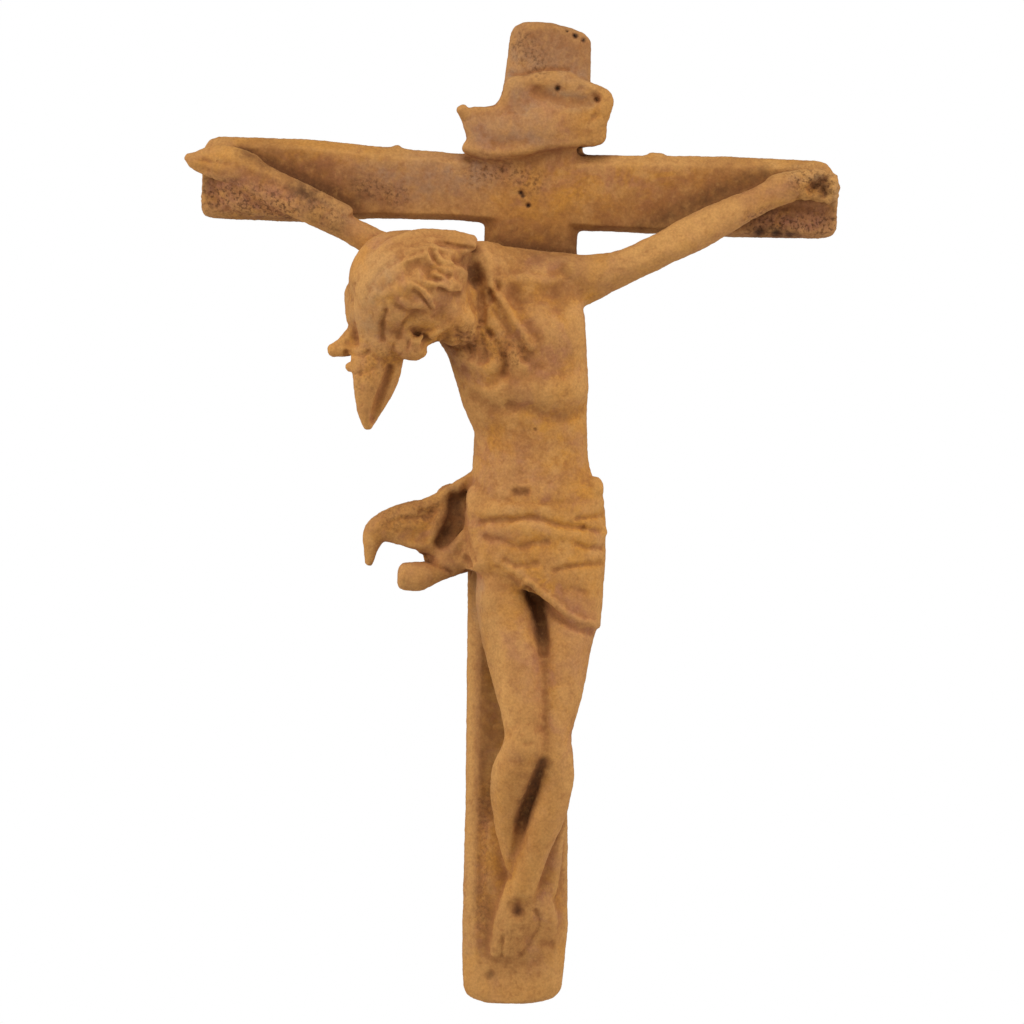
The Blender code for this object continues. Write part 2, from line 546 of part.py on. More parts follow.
def add_loincloth(mesh):
    """The loincloth: a wrap round the hips whose hem falls to the right, with rolled folds across it."""
    wrap = [
        (-95, 0.0, 8.0, 22.4, 10.8),
        (-101, 0.2, 8.2, 23.2, 12.2),
        (-110, 0.9, 8.4, 23.2, 12.8),
        (-120, 1.4, 8.6, 22.9, 12.8),
        (-130, 1.8, 8.8, 22.0, 12.4),
        (-140, 2.4, 9.0, 21.0, 11.8),
        (-150, 3.0, 9.0, 19.8, 11.2),
    ]
    levels = [station[0] for station in wrap]
    top = levels[0]
    sides = 40
    rows = 18
    rings = []
    for row in range(rows + 1):
        share = row / rows
        tuck = math.sqrt(1 - (1 - min(share * 6, 1)) ** 2) * 0.06 + 0.94
        ring = []
        for side in range(sides):
            angle = 2 * math.pi * side / sides
            spot = wrap[2][1] + wrap[2][3] * math.cos(angle)
            hem = np.interp(spot, [point[0] for point in HEM], [point[1] for point in HEM])
            up = top + (hem - top) * share
            place_in_wrap = (up - levels[0]) / (levels[-1] - levels[0])
            across, out, width, depth = smooth_values([station[1:] for station in wrap], [place_in_wrap])[0]
            x = across + width * tuck * math.cos(angle)
            y = out + depth * tuck * math.sin(angle)
            ring.append(mesh.verts.new(place(x, y, up)))
        rings.append(ring)
    faces = []
    for first, second in zip(rings, rings[1:]):
        for index in range(sides):
            after = (index + 1) % sides
            faces.append(mesh.faces.new((first[index], first[after], second[after], second[index])))
    for ring in (rings[0], rings[-1]):
        middle = mesh.verts.new(np.mean([vert.co for vert in ring], axis=0))
        for index in range(sides):
            faces.append(mesh.faces.new((ring[index], ring[(index + 1) % sides], middle)))
    bmesh.ops.recalc_face_normals(mesh, faces=faces)
    rolls = [
        [(-14, 18.6, -110, 2, 1.6), (0, 20.4, -110.5, 2.2, 1.8), (12, 18, -112, 2.2, 2), (21.8, 10, -112.5, 2.6, 3)],
        [(-20, 13.6, -98, 2, 1.6), (-8, 18, -100, 2, 1.4), (6, 18.4, -100, 2, 1.4), (20, 12.6, -98.5, 2.4, 2.4)],
        [(-15, 17.2, -117, 1.8, 1.4), (-3, 20.4, -119, 1.8, 1.4), (10, 18.8, -118, 1.8, 1.6), (21.2, 11, -119, 2, 2.2)],
        [(-7, 19.2, -124, 1.4, 1.0), (2, 20.2, -126.6, 1.5, 1.2), (14, 17.6, -128, 1.7, 1.2), (21, 10, -129, 1.7, 2)],
    ]
    for roll in rolls:
        body_limb(mesh, roll)


def add_loose_ends(mesh):
    """The two loose ends at the left: a broad one hooked down at its tip, and the stub of the knot."""
    broad = [
        (-16, 3.5, -105, 11, 3),
        (-22, 2.6, -107.4, 13.4, 2.4),
        (-30, 5.0, -110.6, 11.8, 2.6),
        (-38, 7.0, -110.8, 8.2, 2.8),
        (-46, 7.0, -111.3, 5.6, 2.8),
        (-51.0, 6.5, -114.2, 4.2, 2.4),
        (-52.3, 6.0, -119.4, 2.5, 2.0),
        (-52.8, 6.0, -125.2, 0.9, 1.2),
    ]
    body_limb(mesh, broad, sides=24, rings=32)
    folds = [
        [(-18, 6, -95.4, 1.8), (-28, 8, -100.6, 2.0), (-41, 9.4, -106.4, 2.0), (-51, 8.6, -112, 1.8)],
        [(-25, 5, -107, 1.6), (-33, 9.4, -109, 1.9), (-42, 10, -111, 1.8), (-49, 8.5, -115, 1.4)],
        [(-27, 6, -116, 1.6), (-34, 9.0, -115.0, 1.9), (-41, 9.4, -114, 1.6), (-46, 8.0, -114.4, 1.2)],
    ]
    for fold in folds:
        body_limb(mesh, fold)
    knot = [
        (-16, 6, -119, 4.4, 4),
        (-24, 7, -121.6, 4.8, 3.4),
        (-31, 8, -124.6, 4.8, 3.6),
        (-37, 8, -127.4, 5.2, 3.8),
        (-43.8, 8, -127.6, 4.2, 3.6),
    ]
    body_limb(mesh, knot, roundness=0.7)


def raw_casting():
    """All the overlapping masses of the casting in one mesh."""
    mesh = bmesh.new()
    add_upright(mesh)
    add_beam(mesh)
    add_scroll(mesh)
    add_torso(mesh)
    add_arms(mesh)
    add_left_hand(mesh)
    add_right_hand(mesh)
    add_head(mesh)
    add_hair(mesh)
    add_legs(mesh)
    add_feet(mesh)
    add_loincloth(mesh)
    add_loose_ends(mesh)
    data = bpy.data.meshes.new("crucifix_casting")
    mesh.to_mesh(data)
    mesh.free()
    piece = bpy.data.objects.new("crucifix_casting", data)
    bpy.context.scene.collection.objects.link(piece)
    return piece


def settle(piece, add):
    """Run one modifier for good, so that the next step works on its result."""
    add(piece)
    bpy.context.view_layer.update()
    graph = bpy.context.evaluated_depsgraph_get()
    result = bpy.data.meshes.new_from_object(piece.evaluated_get(graph))
    piece.modifiers.clear()
    piece.data = result


def fuse(piece):
    """Turn the masses into one skin."""
    remesh = piece.modifiers.new("fuse", "REMESH")
    remesh.mode = "VOXEL"
    remesh.voxel_size = VOXEL
    remesh.adaptivity = 0.0


def soften(piece):
    """Round the joins as a worn mould does."""
    smooth = piece.modifiers.new("soften", "SMOOTH")
    smooth.factor = 0.5
    smooth.iterations = 4


def thin_out(piece):
    """Bring the skin down to the number of triangles that the solid may have."""
    thin = piece.modifiers.new("thin out", "DECIMATE")
    thin.ratio = TRIANGLES / (2 * len(piece.data.polygons))


def nearest_along(flat, line):
    """The distance of flat points from a line of joined stretches."""
    best = np.full(len(flat), 1e9)
    for first, second in zip(line, line[1:]):
        along = second - first
        share = np.clip(((flat - first) @ along) / max(along @ along, 1e-18), 0, 1)
        best = np.minimum(best, np.linalg.norm(flat - (first + share[:, None] * along), axis=1))
    return best


def carve(piece, strokes):
    """Press grooves and raise ridges along lines seen from the front: points, width and depth in steps."""
    data = piece.data
    spots = np.empty(len(data.vertices) * 3)
    normals = np.empty(len(data.vertices) * 3)
    data.vertices.foreach_get("co", spots)
    data.vertices.foreach_get("normal", normals)
    spots = spots.reshape(-1, 3)
    normals = normals.reshape(-1, 3)
    facing = np.clip(-normals[:, 1] * 2, 0, 1)
    facing[spots[:, 1] > FRONT * 0.6] = 0
    for line, width, depth in strokes:
        curve = smooth_values(line, np.linspace(0, 1, 4 * len(line))) * STEP
        gap = nearest_along(spots[:, [0, 2]], curve) / (width * STEP)
        press = np.where(gap < 1, (1 - gap ** 2) ** 2, 0) * facing
        spots -= normals * (press * depth * STEP)[:, None]
    data.vertices.foreach_set("co", spots.ravel())
    data.update()


def strokes_of_figure():
    """The carving that shows from a step away: points across and up, half width and depth, in steps."""
    return [
        ([(-14, -34), (-7, -33.2), (0, -33.8), (8, -32)], 1.8, 0.9),
        ([(-6.7, -40), (-7, -52), (-6, -62)], 2.2, 1.0),
        ([(-2, -69), (3, -71.6), (8, -72.4), (15, -70)], 2.0, 1.1),
        ([(-22, -66), (-15, -70), (-8, -68.5), (-2, -66)], 2.2, 0.8),
        ([(-4, -76), (-4.2, -86), (-3.8, -96)], 2.0, 0.5),
        ([(-3.9, -98.6), (-3.4, -100)], 1.8, 1.4),
        ([(-10, -108.5), (1, -107), (10, -109), (18, -110.4), (24, -112.5)], 1.7, 1.2),
        ([(-13, -113.8), (-5, -116.4), (0, -115.6), (5.6, -114.1)], 1.5, 1.0),
        ([(-7.5, -121.1), (-2.2, -122.9), (1.6, -121.8)], 1.4, 0.9),
        ([(8, -123.4), (14, -122.6), (22.5, -121)], 1.4, 0.8),
        ([(2.4, -135), (4.2, -143), (5.6, -152), (6.7, -164), (7.4, -176)], 2.4, 2.2),
        ([(6.6, -187.5), (2.4, -199), (-1.4, -209), (-1.2, -214)], 2.2, 2.4),
        ([(-35.5, -21.9), (-33.7, -26.1), (-32, -29.3)], 1.4, 1.2),
        ([(-41, -27), (-38, -29)], 2.4, 1.4),
        ([(-38.3, -35.7), (-35.9, -38.5)], 1.2, 1.0),
        ([(-48.8, -43.9), (-51.2, -50.2)], 1.5, 1.2),
        ([(-22.5, -23.4), (-20, -29), (-19.2, -36), (-18, -44)], 2.0, 2.6),
        ([(-48.1, -62.5), (-50, -69), (-52.4, -75.5)], 1.3, 1.6),
        ([(-10.7, -56), (-10.4, -60)], 1.6, 1.6),
        ([(-24, -99), (-23.8, -108), (-24, -117)], 1.8, 2.2),
        ([(90.4, 3.2), (91.6, 1.2)], 2.6, 2.4),
        ([(-23, -120), (-28, -122.4), (-31, -123.6)], 1.4, 1.4),
        ([(-36, -106), (-44, -108.6), (-50, -113)], 1.2, 0.8),
        ([(5.5, -246.5), (9, -241)], 2.0, 1.2),
    ]


def nail_hole():
    """The nail hole through the crossed feet, as one short stroke."""
    half = NAIL_HOLE_WIDTH / STEP / 2
    return [([(-1.0, -234.4), (-0.4, -236.6)], half * 1.2, half * 1.3)]


def strokes_of_scroll():
    """The creases of the scroll and the hollow under its right end."""
    def at(across, up):
        spot = scroll_point(across, up, 0)
        return spot[0] / STEP, spot[2] / STEP
    return [
        ([at(-0.14, 0.52), at(0.0, 0.56), at(0.16, 0.60), at(0.30, 0.56)], 1.4, 1.0),
        ([at(0.02, 0.26), at(0.18, 0.28), at(0.34, 0.32)], 1.6, 1.2),
        ([at(-0.40, -0.28), at(-0.20, -0.32), at(0.0, -0.26), at(0.14, -0.16)], 1.4, 0.7),
        ([at(0.34, -0.36), at(0.40, -0.38)], 1.8, 2.0),
    ]


def flatten_back(piece):
    """Cut the casting off flat at its back, where it meets what it hangs on."""
    mesh = bmesh.new()
    mesh.from_mesh(piece.data)
    geometry = list(mesh.verts) + list(mesh.edges) + list(mesh.faces)
    bmesh.ops.bisect_plane(mesh, geom=geometry, plane_co=(0, 0, 0), plane_no=(0, 1, 0), clear_outer=True)
    rim = [edge for edge in mesh.edges if edge.is_boundary]
    bmesh.ops.holes_fill(mesh, edges=rim, sides=0)
    bmesh.ops.dissolve_degenerate(mesh, dist=1e-6, edges=list(mesh.edges))
    bmesh.ops.triangulate(mesh, faces=list(mesh.faces))
    bmesh.ops.recalc_face_normals(mesh, faces=list(mesh.faces))
    mesh.to_mesh(piece.data)
    mesh.free()


def iron(piece):
    """Rusted iron: matte, ochre to brown."""
    rust = bpy.data.materials.new("rusted_iron")
    rust.use_nodes = True
    shader = rust.node_tree.nodes["Principled BSDF"]
    shader.inputs["Base Color"].default_value = (0.45, 0.20, 0.05, 1.0)
    shader.inputs["Roughness"].default_value = 0.9
    shader.inputs["Metallic"].default_value = 0.0
    piece.data.materials.clear()
    piece.data.materials.append(rust)


def build():
    """Make the casting."""
    clear_scene()
    casting = raw_casting()
    settle(casting, fuse)
    settle(casting, soften)
    carve(casting, strokes_of_figure() + nail_hole() + strokes_of_scroll())
    settle(casting, thin_out)
    flatten_back(casting)
    iron(casting)
    casting.data.shade_smooth()
    casting.data.set_sharp_from_angle(angle=math.radians(40))


build()
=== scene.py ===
"""Cast iron crucifix: the finished casting, its rust and its stage.

Metres, +Z up. The front faces -Y. The origin is on the flat back, where the beam crosses the upright.
"""
import json
import math

import bmesh
import bpy
import numpy as np
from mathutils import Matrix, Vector, noise
from mathutils.bvhtree import BVHTree

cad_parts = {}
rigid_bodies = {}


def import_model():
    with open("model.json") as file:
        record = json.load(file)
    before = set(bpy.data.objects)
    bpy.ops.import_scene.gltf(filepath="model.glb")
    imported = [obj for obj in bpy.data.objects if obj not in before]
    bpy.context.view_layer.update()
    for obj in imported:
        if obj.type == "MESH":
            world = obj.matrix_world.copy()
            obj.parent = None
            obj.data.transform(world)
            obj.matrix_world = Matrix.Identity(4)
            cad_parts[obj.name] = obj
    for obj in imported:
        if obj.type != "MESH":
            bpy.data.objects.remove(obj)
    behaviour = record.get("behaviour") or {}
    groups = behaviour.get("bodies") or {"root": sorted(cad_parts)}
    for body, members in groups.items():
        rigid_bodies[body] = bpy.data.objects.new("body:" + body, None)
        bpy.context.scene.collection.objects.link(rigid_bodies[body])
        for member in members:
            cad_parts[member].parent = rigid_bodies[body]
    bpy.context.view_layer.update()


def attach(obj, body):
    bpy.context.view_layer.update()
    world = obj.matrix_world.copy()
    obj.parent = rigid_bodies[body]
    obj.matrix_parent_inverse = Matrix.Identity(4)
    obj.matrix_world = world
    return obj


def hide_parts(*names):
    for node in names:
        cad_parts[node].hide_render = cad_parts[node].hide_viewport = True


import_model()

bl_info = {
    "name": "Cast iron crucifix",
    "version": (1, 0, 0),
    "blender": (4, 5, 0),
    "location": "View3D > Sidebar > Crucifix",
    "description": "Models a rusted cast iron crucifix in one piece, with its stage",
    "category": "Object",
}

NODE = "crucifix_casting"
PIECE = "crucifix_iron"
MASSES = "casting masses"
MM = 0.001

# How far the masses reach behind the back before it is cut flat, and the most that a bevel takes of a bar
BACK_OVERRUN = 0.002
BEVEL_LIMIT = 0.3

# Limbs: the step for their direction, the least length that counts, and where a sphere's pole begins
TANGENT_STEP = 0.02
TINY = 1e-9
POLE = 0.9999

# The skin: rounds and share kept of each fillet, the last smoothing, and the angle that stays an edge
FILLETS = ((30, 0.75), (12, 0.75))
SMOOTH_FACTOR = 0.5
SMOOTH_PASSES = 2
EDGE_ANGLE = math.radians(60)

# Carving fades on slopes by a gain, and stops at a share of the cross's depth behind its face
CARVE_GAIN = 2
CARVE_DEEPEST = 0.6

# Carving of the face: its gain, and the part of the head that it reaches, in millimetres of the head
FACE_GAIN = 1.6
FACE_START = 3
FACE_HALF_WIDTH = 14
FACE_HALF_HEIGHT = 24

# Pits: half their line in millimetres, and how much wider their mouths and their stains are
PIT_HALF_LINE = 0.1
PIT_MOUTH = 1.5
PIT_STAIN = 1.3

# Lumps of rust: how many a millimetre and their share of the relief, and where the right hand has more
BROAD_LUMPS = (0.16, 1.3)
ROUND_LUMPS = (0.55, 0.9)
FINE_LUMPS = (1.25, 0.55)
SPECKLE_LUMPS = (1.0, 1.6)
SPECKLE_SPREAD = 1.2
SPECKLE_LEAST = 0.02
HAND_START = 0.082
HAND_STAND = 0.003
HAND_LUMPS = 3.0

# Openness to the sky, which sets the painted shade of the hollows: how far and how many ways it looks, and
# from how far above the skin
SKY_REACH = 0.016
SKY_RAYS = 16
SKY_SEED = 5
SKY_LIFT = 0.0003
SKY_ROUNDS = 3

# Wear and painted shade in the creases: the rounds that even out the grain and the broader form, and where
# the lightening of the parts that stand out from the cross begins and is whole
FINE_ROUNDS = 4
BROAD_ROUNDS = 40
WORN_START = 0.004
WORN_RANGE = 0.014

# Stains, painted shade and painted highlights: how much wider than their lines, how they fall off and fray,
# and how far round the sides they go
STAIN_AND_LIGHT_SPREAD = 1.25
STAIN_AND_LIGHT_FALL = 0.7
STAIN_AND_LIGHT_FRAY = 0.8
STAIN_AND_LIGHT_SIDES = 0.4
BROAD_FRAY = 0.003
FINE_FRAY = 0.0012
FINE_FRAY_SHARE = 0.6

# The mix node's sockets for colours
FIRST_COLOUR = 6
SECOND_COLOUR = 7
MIXED_COLOUR = 2

# The stage: the lamps, where they look, and the camera's film and furthest distance
LAMPS = (
    ("light_top", (0, -0.55, 0.75)),
    ("light_left", (-0.85, -0.32, -0.10)),
    ("light_right", (0.85, -0.32, -0.10)),
)
LAMPS_AIM = (0, -0.02, -0.10)
SENSOR_WIDTH = 36.0
FAR_CLIP = 50.0


def length(name, description, default):
    """A setting in metres."""
    return bpy.props.FloatProperty(name=name, description=description, default=default, unit="LENGTH")


def colour(name, description, default):
    """A setting that is an opaque colour."""
    return bpy.props.FloatVectorProperty(
        name=name, description=description, subtype="COLOR", size=4, default=default + (1.0,))


def power(name, default):
    """A setting in watts."""
    return bpy.props.FloatProperty(
        name=name, description="Strength of the lamp", default=default, unit="POWER")


class CrossSizes(bpy.types.PropertyGroup):
    """Sizes of the cross and the scroll."""

    depth: length("Depth", "From the flat back to the front face", 0.0120)
    above: length("Upright above", "From the beam's axis to the top", 0.0543)
    below: length("Upright below", "From the beam's axis to the foot", 0.2661)
    width_head: length("Width at the head", "Width of the upright above the beam", 0.0262)
    width_crossing: length("Width at the crossing", "Width of the upright at the beam", 0.0300)
    width_foot: length("Width at the foot", "Width of the upright at its foot", 0.0348)
    lean: length("Lean", "How far the crossing stands to the left", 0.0042)
    beam_left: length("Beam left", "From the middle to the left end", 0.1115)
    beam_right: length("Beam right", "From the middle to the right end", 0.0958)
    beam_middle: length("Beam middle", "Height of the beam at its middle", 0.0225)
    beam_end: length("Beam end", "Height of the beam at its ends", 0.0268)
    bevel_width: length("Chamfer width", "Width of the upright's chamfers", 0.0042)
    bevel_depth: length("Chamfer depth", "Depth of the chamfers", 0.0034)
    scroll_width: length("Scroll width", "Width of the scroll", 0.0505)
    scroll_height: length("Scroll height", "Height of the scroll", 0.0260)
    scroll_depth: length("Scroll depth", "How far the scroll stands out", 0.0052)
    scroll_lift: length("Scroll lift", "Height of the scroll's middle", 0.0230)


class CastingLook(bpy.types.PropertyGroup):
    """Fineness of the casting and the colours of its rust."""

    voxel: length("Grain of the skin", "Size of the skin's facets", 0.00050)
    triangles: bpy.props.IntProperty(
        name="Triangles", description="Most triangles in the casting", default=186000)
    relief: length("Rust relief", "Height of the lumps of rust", 0.00016)
    ochre: colour("Ochre", "Colour of the open surfaces", (0.385, 0.170, 0.046))
    amber: colour("Amber", "Colour of the warm patches", (0.445, 0.188, 0.030))
    tan: colour("Tan", "Colour of the worn raised places", (0.500, 0.248, 0.072))
    # Brown and dark are rust colours, and also the painted shade of the hollows and creases.
    brown: colour("Brown", "Colour of the darker rust", (0.260, 0.095, 0.026))
    dark: colour("Dark", "Colour of the recesses", (0.070, 0.025, 0.008))
    mauve: colour("Mauve", "Colour of the reddish grey patches", (0.300, 0.118, 0.068))
    grey: colour("Grey", "Colour of the pale grey patches", (0.300, 0.182, 0.100))
    black: colour("Black", "Colour of the pits' floors", (0.012, 0.006, 0.003))
    roughness: bpy.props.FloatProperty(
        name="Roughness", description="Roughness of the rust", default=0.86, subtype="FACTOR")


class StageLook(bpy.types.PropertyGroup):
    """The camera, the lights and the floor."""

    distance: length("Camera distance", "From the camera to the casting", 5.0)
    frame_width: length("Frame width", "Width of the view at the casting", 0.33403)
    roll: bpy.props.FloatProperty(
        name="Roll", description="Turn of the camera about its view", subtype="ANGLE",
        default=math.radians(-2.03))
    aim: bpy.props.FloatVectorProperty(
        name="Aim", description="The point that the camera looks at", subtype="XYZ",
        default=(-0.00676, -0.012, -0.10573))
    world: bpy.props.FloatProperty(
        name="Room light", description="Strength of the light from all round", default=0.34)
    light_top: power("Top lamp", 6.4)
    light_left: power("Left lamp", 5.6)
    light_right: power("Right lamp", 5.0)
    lamp_size: length("Lamp size", "Side of the square lamps", 0.6)
    floor_drop: length("Floor drop", "From the casting's foot to the floor", 0.14)
    floor_radius: length("Floor radius", "Radius of the round floor", 0.24)
    floor_colour: colour("Floor", "Colour of the floor", (0.9, 0.9, 0.9))


def sizes():
    """The sizes of the cross."""
    return bpy.context.scene.crucifix_cross


def look():
    """The fineness and the colours."""
    return bpy.context.scene.crucifix_look


def deselect():
    """Leave edit mode and select nothing."""
    if bpy.context.object is not None and bpy.context.object.mode != "OBJECT":
        bpy.ops.object.mode_set(mode="OBJECT")
    bpy.ops.object.select_all(action="DESELECT")


def make_active(piece):
    """Select one object alone."""
    deselect()
    piece.select_set(True)
    bpy.context.view_layer.objects.active = piece


def keep_mass(name):
    """Name the new primitive and put it with the casting's masses."""
    piece = bpy.context.object
    piece.name = name
    home = bpy.data.collections.get(MASSES)
    if home is None:
        home = bpy.data.collections.new(MASSES)
        bpy.context.scene.collection.children.link(home)
    for other in list(piece.users_collection):
        other.objects.unlink(piece)
    home.objects.link(piece)
    return piece


def read_spots(piece):
    """The corners of a mesh as an array."""
    spots = np.empty(len(piece.data.vertices) * 3)
    piece.data.vertices.foreach_get("co", spots)
    return spots.reshape(-1, 3)


def read_normals(piece):
    """The normals at the corners of a mesh as an array."""
    normals = np.empty(len(piece.data.vertices) * 3)
    piece.data.vertices.foreach_get("normal", normals)
    return normals.reshape(-1, 3)


def write_spots(piece, spots):
    """Put the corners of a mesh where the array says."""
    piece.data.vertices.foreach_set("co", np.ascontiguousarray(spots).ravel())
    piece.data.update()


def new_ball(name, sides, rings):
    """A unit sphere to shape."""
    deselect()
    bpy.ops.mesh.primitive_uv_sphere_add(segments=sides, ring_count=rings, radius=1.0, location=(0, 0, 0))
    return keep_mass(name)


def apply_modifier(piece, kind, **settings):
    """Add a modifier, set it and apply it."""
    make_active(piece)
    bpy.ops.object.modifier_add(type=kind)
    added = piece.modifiers[-1]
    for key, value in settings.items():
        setattr(added, key, value)
    bpy.ops.object.modifier_apply(modifier=added.name)


def smooth_values(values, shares):
    """Values of a list read along a Catmull-Rom curve at shares from 0 to 1."""
    table = np.atleast_2d(np.array(values, dtype=float))
    if table.shape[0] == 1:
        table = table.T
    spans = table.shape[0] - 1
    spot = np.clip(np.asarray(shares) * spans, 0, spans - 1e-9)
    index = spot.astype(int)
    t = (spot - index)[:, None]
    before = table[np.maximum(index - 1, 0)]
    first = table[index]
    second = table[index + 1]
    after = table[np.minimum(index + 2, spans)]
    bend = 2 * first + (second - before) * t
    bend = bend + (2 * before - 5 * first + 4 * second - after) * t ** 2
    bend = bend + (3 * first - before - 3 * second + after) * t ** 3
    return bend / 2


def front():
    """The depth of the cross's front face."""
    return -sizes().depth


def place(across, out, up):
    """A point of the figure: millimetres across, out from the cross's front, and up."""
    return np.array((across * MM, front() - out * MM, up * MM))


def limb(name, points, widths, depths=None, out=(0, -1, 0), sides=24, rings=30, roundness=1.0):
    """A sphere drawn out along a smooth curve, with half widths and half depths in metres."""
    depths = widths if depths is None else depths
    ball = new_ball(name, sides, rings)
    unit = read_spots(ball)
    shares = (1 - unit[:, 2]) / 2
    centre = smooth_values(points, shares)
    width = smooth_values(widths, shares)[:, 0]
    depth = smooth_values(depths, shares)[:, 0]
    ahead = smooth_values(points, np.minimum(shares + TANGENT_STEP, 1))
    tangent = ahead - smooth_values(points, np.maximum(shares - TANGENT_STEP, 0))
    tangent /= np.linalg.norm(tangent, axis=1)[:, None]
    length_along = np.linalg.norm(np.diff(np.array(points), axis=0), axis=1).sum()
    end = np.minimum(shares, 1 - shares) * length_along
    reach = np.maximum(np.minimum(np.maximum(width, depth) * roundness, length_along / 2), TINY)
    gap = np.clip(1 - end / reach, 0, 1)
    cap = np.sqrt(np.clip(1 - gap ** 2, 0, 1))
    way = np.array(out, dtype=float)
    outward = way - tangent * (tangent @ way)[:, None]
    outward /= np.linalg.norm(outward, axis=1)[:, None]
    sideways = np.cross(outward, tangent)
    circle = unit[:, :2] / np.maximum(np.linalg.norm(unit[:, :2], axis=1), TINY)[:, None]
    circle[np.abs(unit[:, 2]) > POLE] = 0
    spots = centre + sideways * (circle[:, 0] * width * cap)[:, None]
    spots += outward * (circle[:, 1] * depth * cap)[:, None]
    write_spots(ball, spots)
    return ball


def station_limb(name, points, stations, **fineness):
    """A limb through points, whose stations end with a half width and a half depth in millimetres."""
    widths = [station[3] * MM for station in stations]
    depths = [station[-1] * MM for station in stations]
    return limb(name, points, widths, depths, **fineness)


def body_limb(name, stations, **fineness):
    """A limb from stations of the figure: across, out, up, half width, half depth, in millimetres."""
    return station_limb(name, [place(*station[:3]) for station in stations], stations, **fineness)


def mass(name, centre, radii, turn=0.0):
    """An ellipsoid at a figure point, turned in the front view by an angle in degrees."""
    ball = new_ball(name, 24, 14)
    unit = read_spots(ball) * np.array(radii) * MM
    angle = math.radians(turn)
    spots = unit.copy()
    spots[:, 0] = unit[:, 0] * math.cos(angle) - unit[:, 2] * math.sin(angle)
    spots[:, 2] = unit[:, 0] * math.sin(angle) + unit[:, 2] * math.cos(angle)
    write_spots(ball, spots + place(*centre))
    return ball


def prism(name, rings):
    """A capped prism through rings of points: extruded level by level, then its corners set."""
    rings = np.array(rings)
    levels, count = rings.shape[:2]
    deselect()
    bpy.ops.mesh.primitive_cylinder_add(
        vertices=count, radius=1.0, depth=1.0, end_fill_type="NGON", location=(0, 0, 0))
    piece = keep_mass(name)
    bpy.ops.object.mode_set(mode="EDIT")
    bpy.ops.mesh.select_mode(type="FACE")
    bpy.ops.mesh.select_all(action="DESELECT")
    mesh = bmesh.from_edit_mesh(piece.data)
    for face in mesh.faces:
        face.select_set(face.normal.z > 0.9)
    bmesh.update_edit_mesh(piece.data)
    for level in range(levels - 2):
        bpy.ops.mesh.extrude_region_move(TRANSFORM_OT_translate={"value": (0, 0, 1)})
    bpy.ops.object.mode_set(mode="OBJECT")
    spots = read_spots(piece)
    level = np.rint(spots[:, 2] + 0.5).astype(int)
    side = np.rint(np.arctan2(spots[:, 0], spots[:, 1]) / (2 * math.pi) * count).astype(int) % count
    write_spots(piece, rings[level, side])
    bpy.ops.object.mode_set(mode="EDIT")
    bpy.ops.mesh.select_all(action="SELECT")
    bpy.ops.mesh.normals_make_consistent(inside=False)
    bpy.ops.object.mode_set(mode="OBJECT")
    return piece


def bar(name, stations, upright, bevels):
    """A bevelled bar from stations of place along it, low edge and high edge, in metres."""
    face = front()
    shoulder = face + sizes().bevel_depth
    rings = []
    for along, low, high in stations:
        low_bevel, high_bevel = [min(bevel, (high - low) * BEVEL_LIMIT) for bevel in bevels]
        section = [(low, BACK_OVERRUN), (high, BACK_OVERRUN), (high, shoulder)]
        section += [(high - high_bevel, face), (low + low_bevel, face), (low, shoulder)]
        if upright:
            rings.append([(edge, depth, along) for edge, depth in section])
        else:
            rings.append([(along, depth, edge) for edge, depth in section])
    return prism(name, rings)


def add_upright():
    """The upright: wider towards the foot, with a worn top that slopes down to the right."""
    size = sizes()
    half_head = size.width_head / 2
    half_crossing = size.width_crossing / 2
    half_foot = size.width_foot / 2
    foot = -size.below
    lean = size.lean
    foot_lean = -lean * 0.3
    round_off = 3.6 * MM
    # each row: how far along, and the shares of the half width to the left and to the right
    worn_foot = [
        (0, 0.5, 0.2), (0.3, 0.72, 0.6), (0.7, 0.84, 0.8), (1.4, 0.91, 0.92), (4, 0.95, 0.96), (7, 0.97, 1),
    ]
    worn_top = [
        (0.65, 1.08, 1.06), (0.90, 0.98, 1.03), (0.945, 0.95, 0.87), (0.975, 0.86, 0.50), (1, 0.62, 0.05),
    ]
    stations = []
    for rise, low, high in worn_foot:
        stations.append((foot + round_off * rise, foot_lean - half_foot * low, foot_lean + half_foot * high))
    stations.append((foot * 0.76, foot_lean - half_foot * 0.99, foot_lean + half_foot * 0.92))
    stations.append((foot * 0.45, -lean - half_foot * 0.94, -lean + half_foot * 1.04))
    stations.append((0.0, -lean - half_crossing + 0.6 * MM, -lean + half_crossing))
    for rise, low, high in worn_top:
        stations.append((size.above * rise, -half_head * low, half_head * high))
    bar("upright", stations, True, (size.bevel_width, size.bevel_width * 0.75))


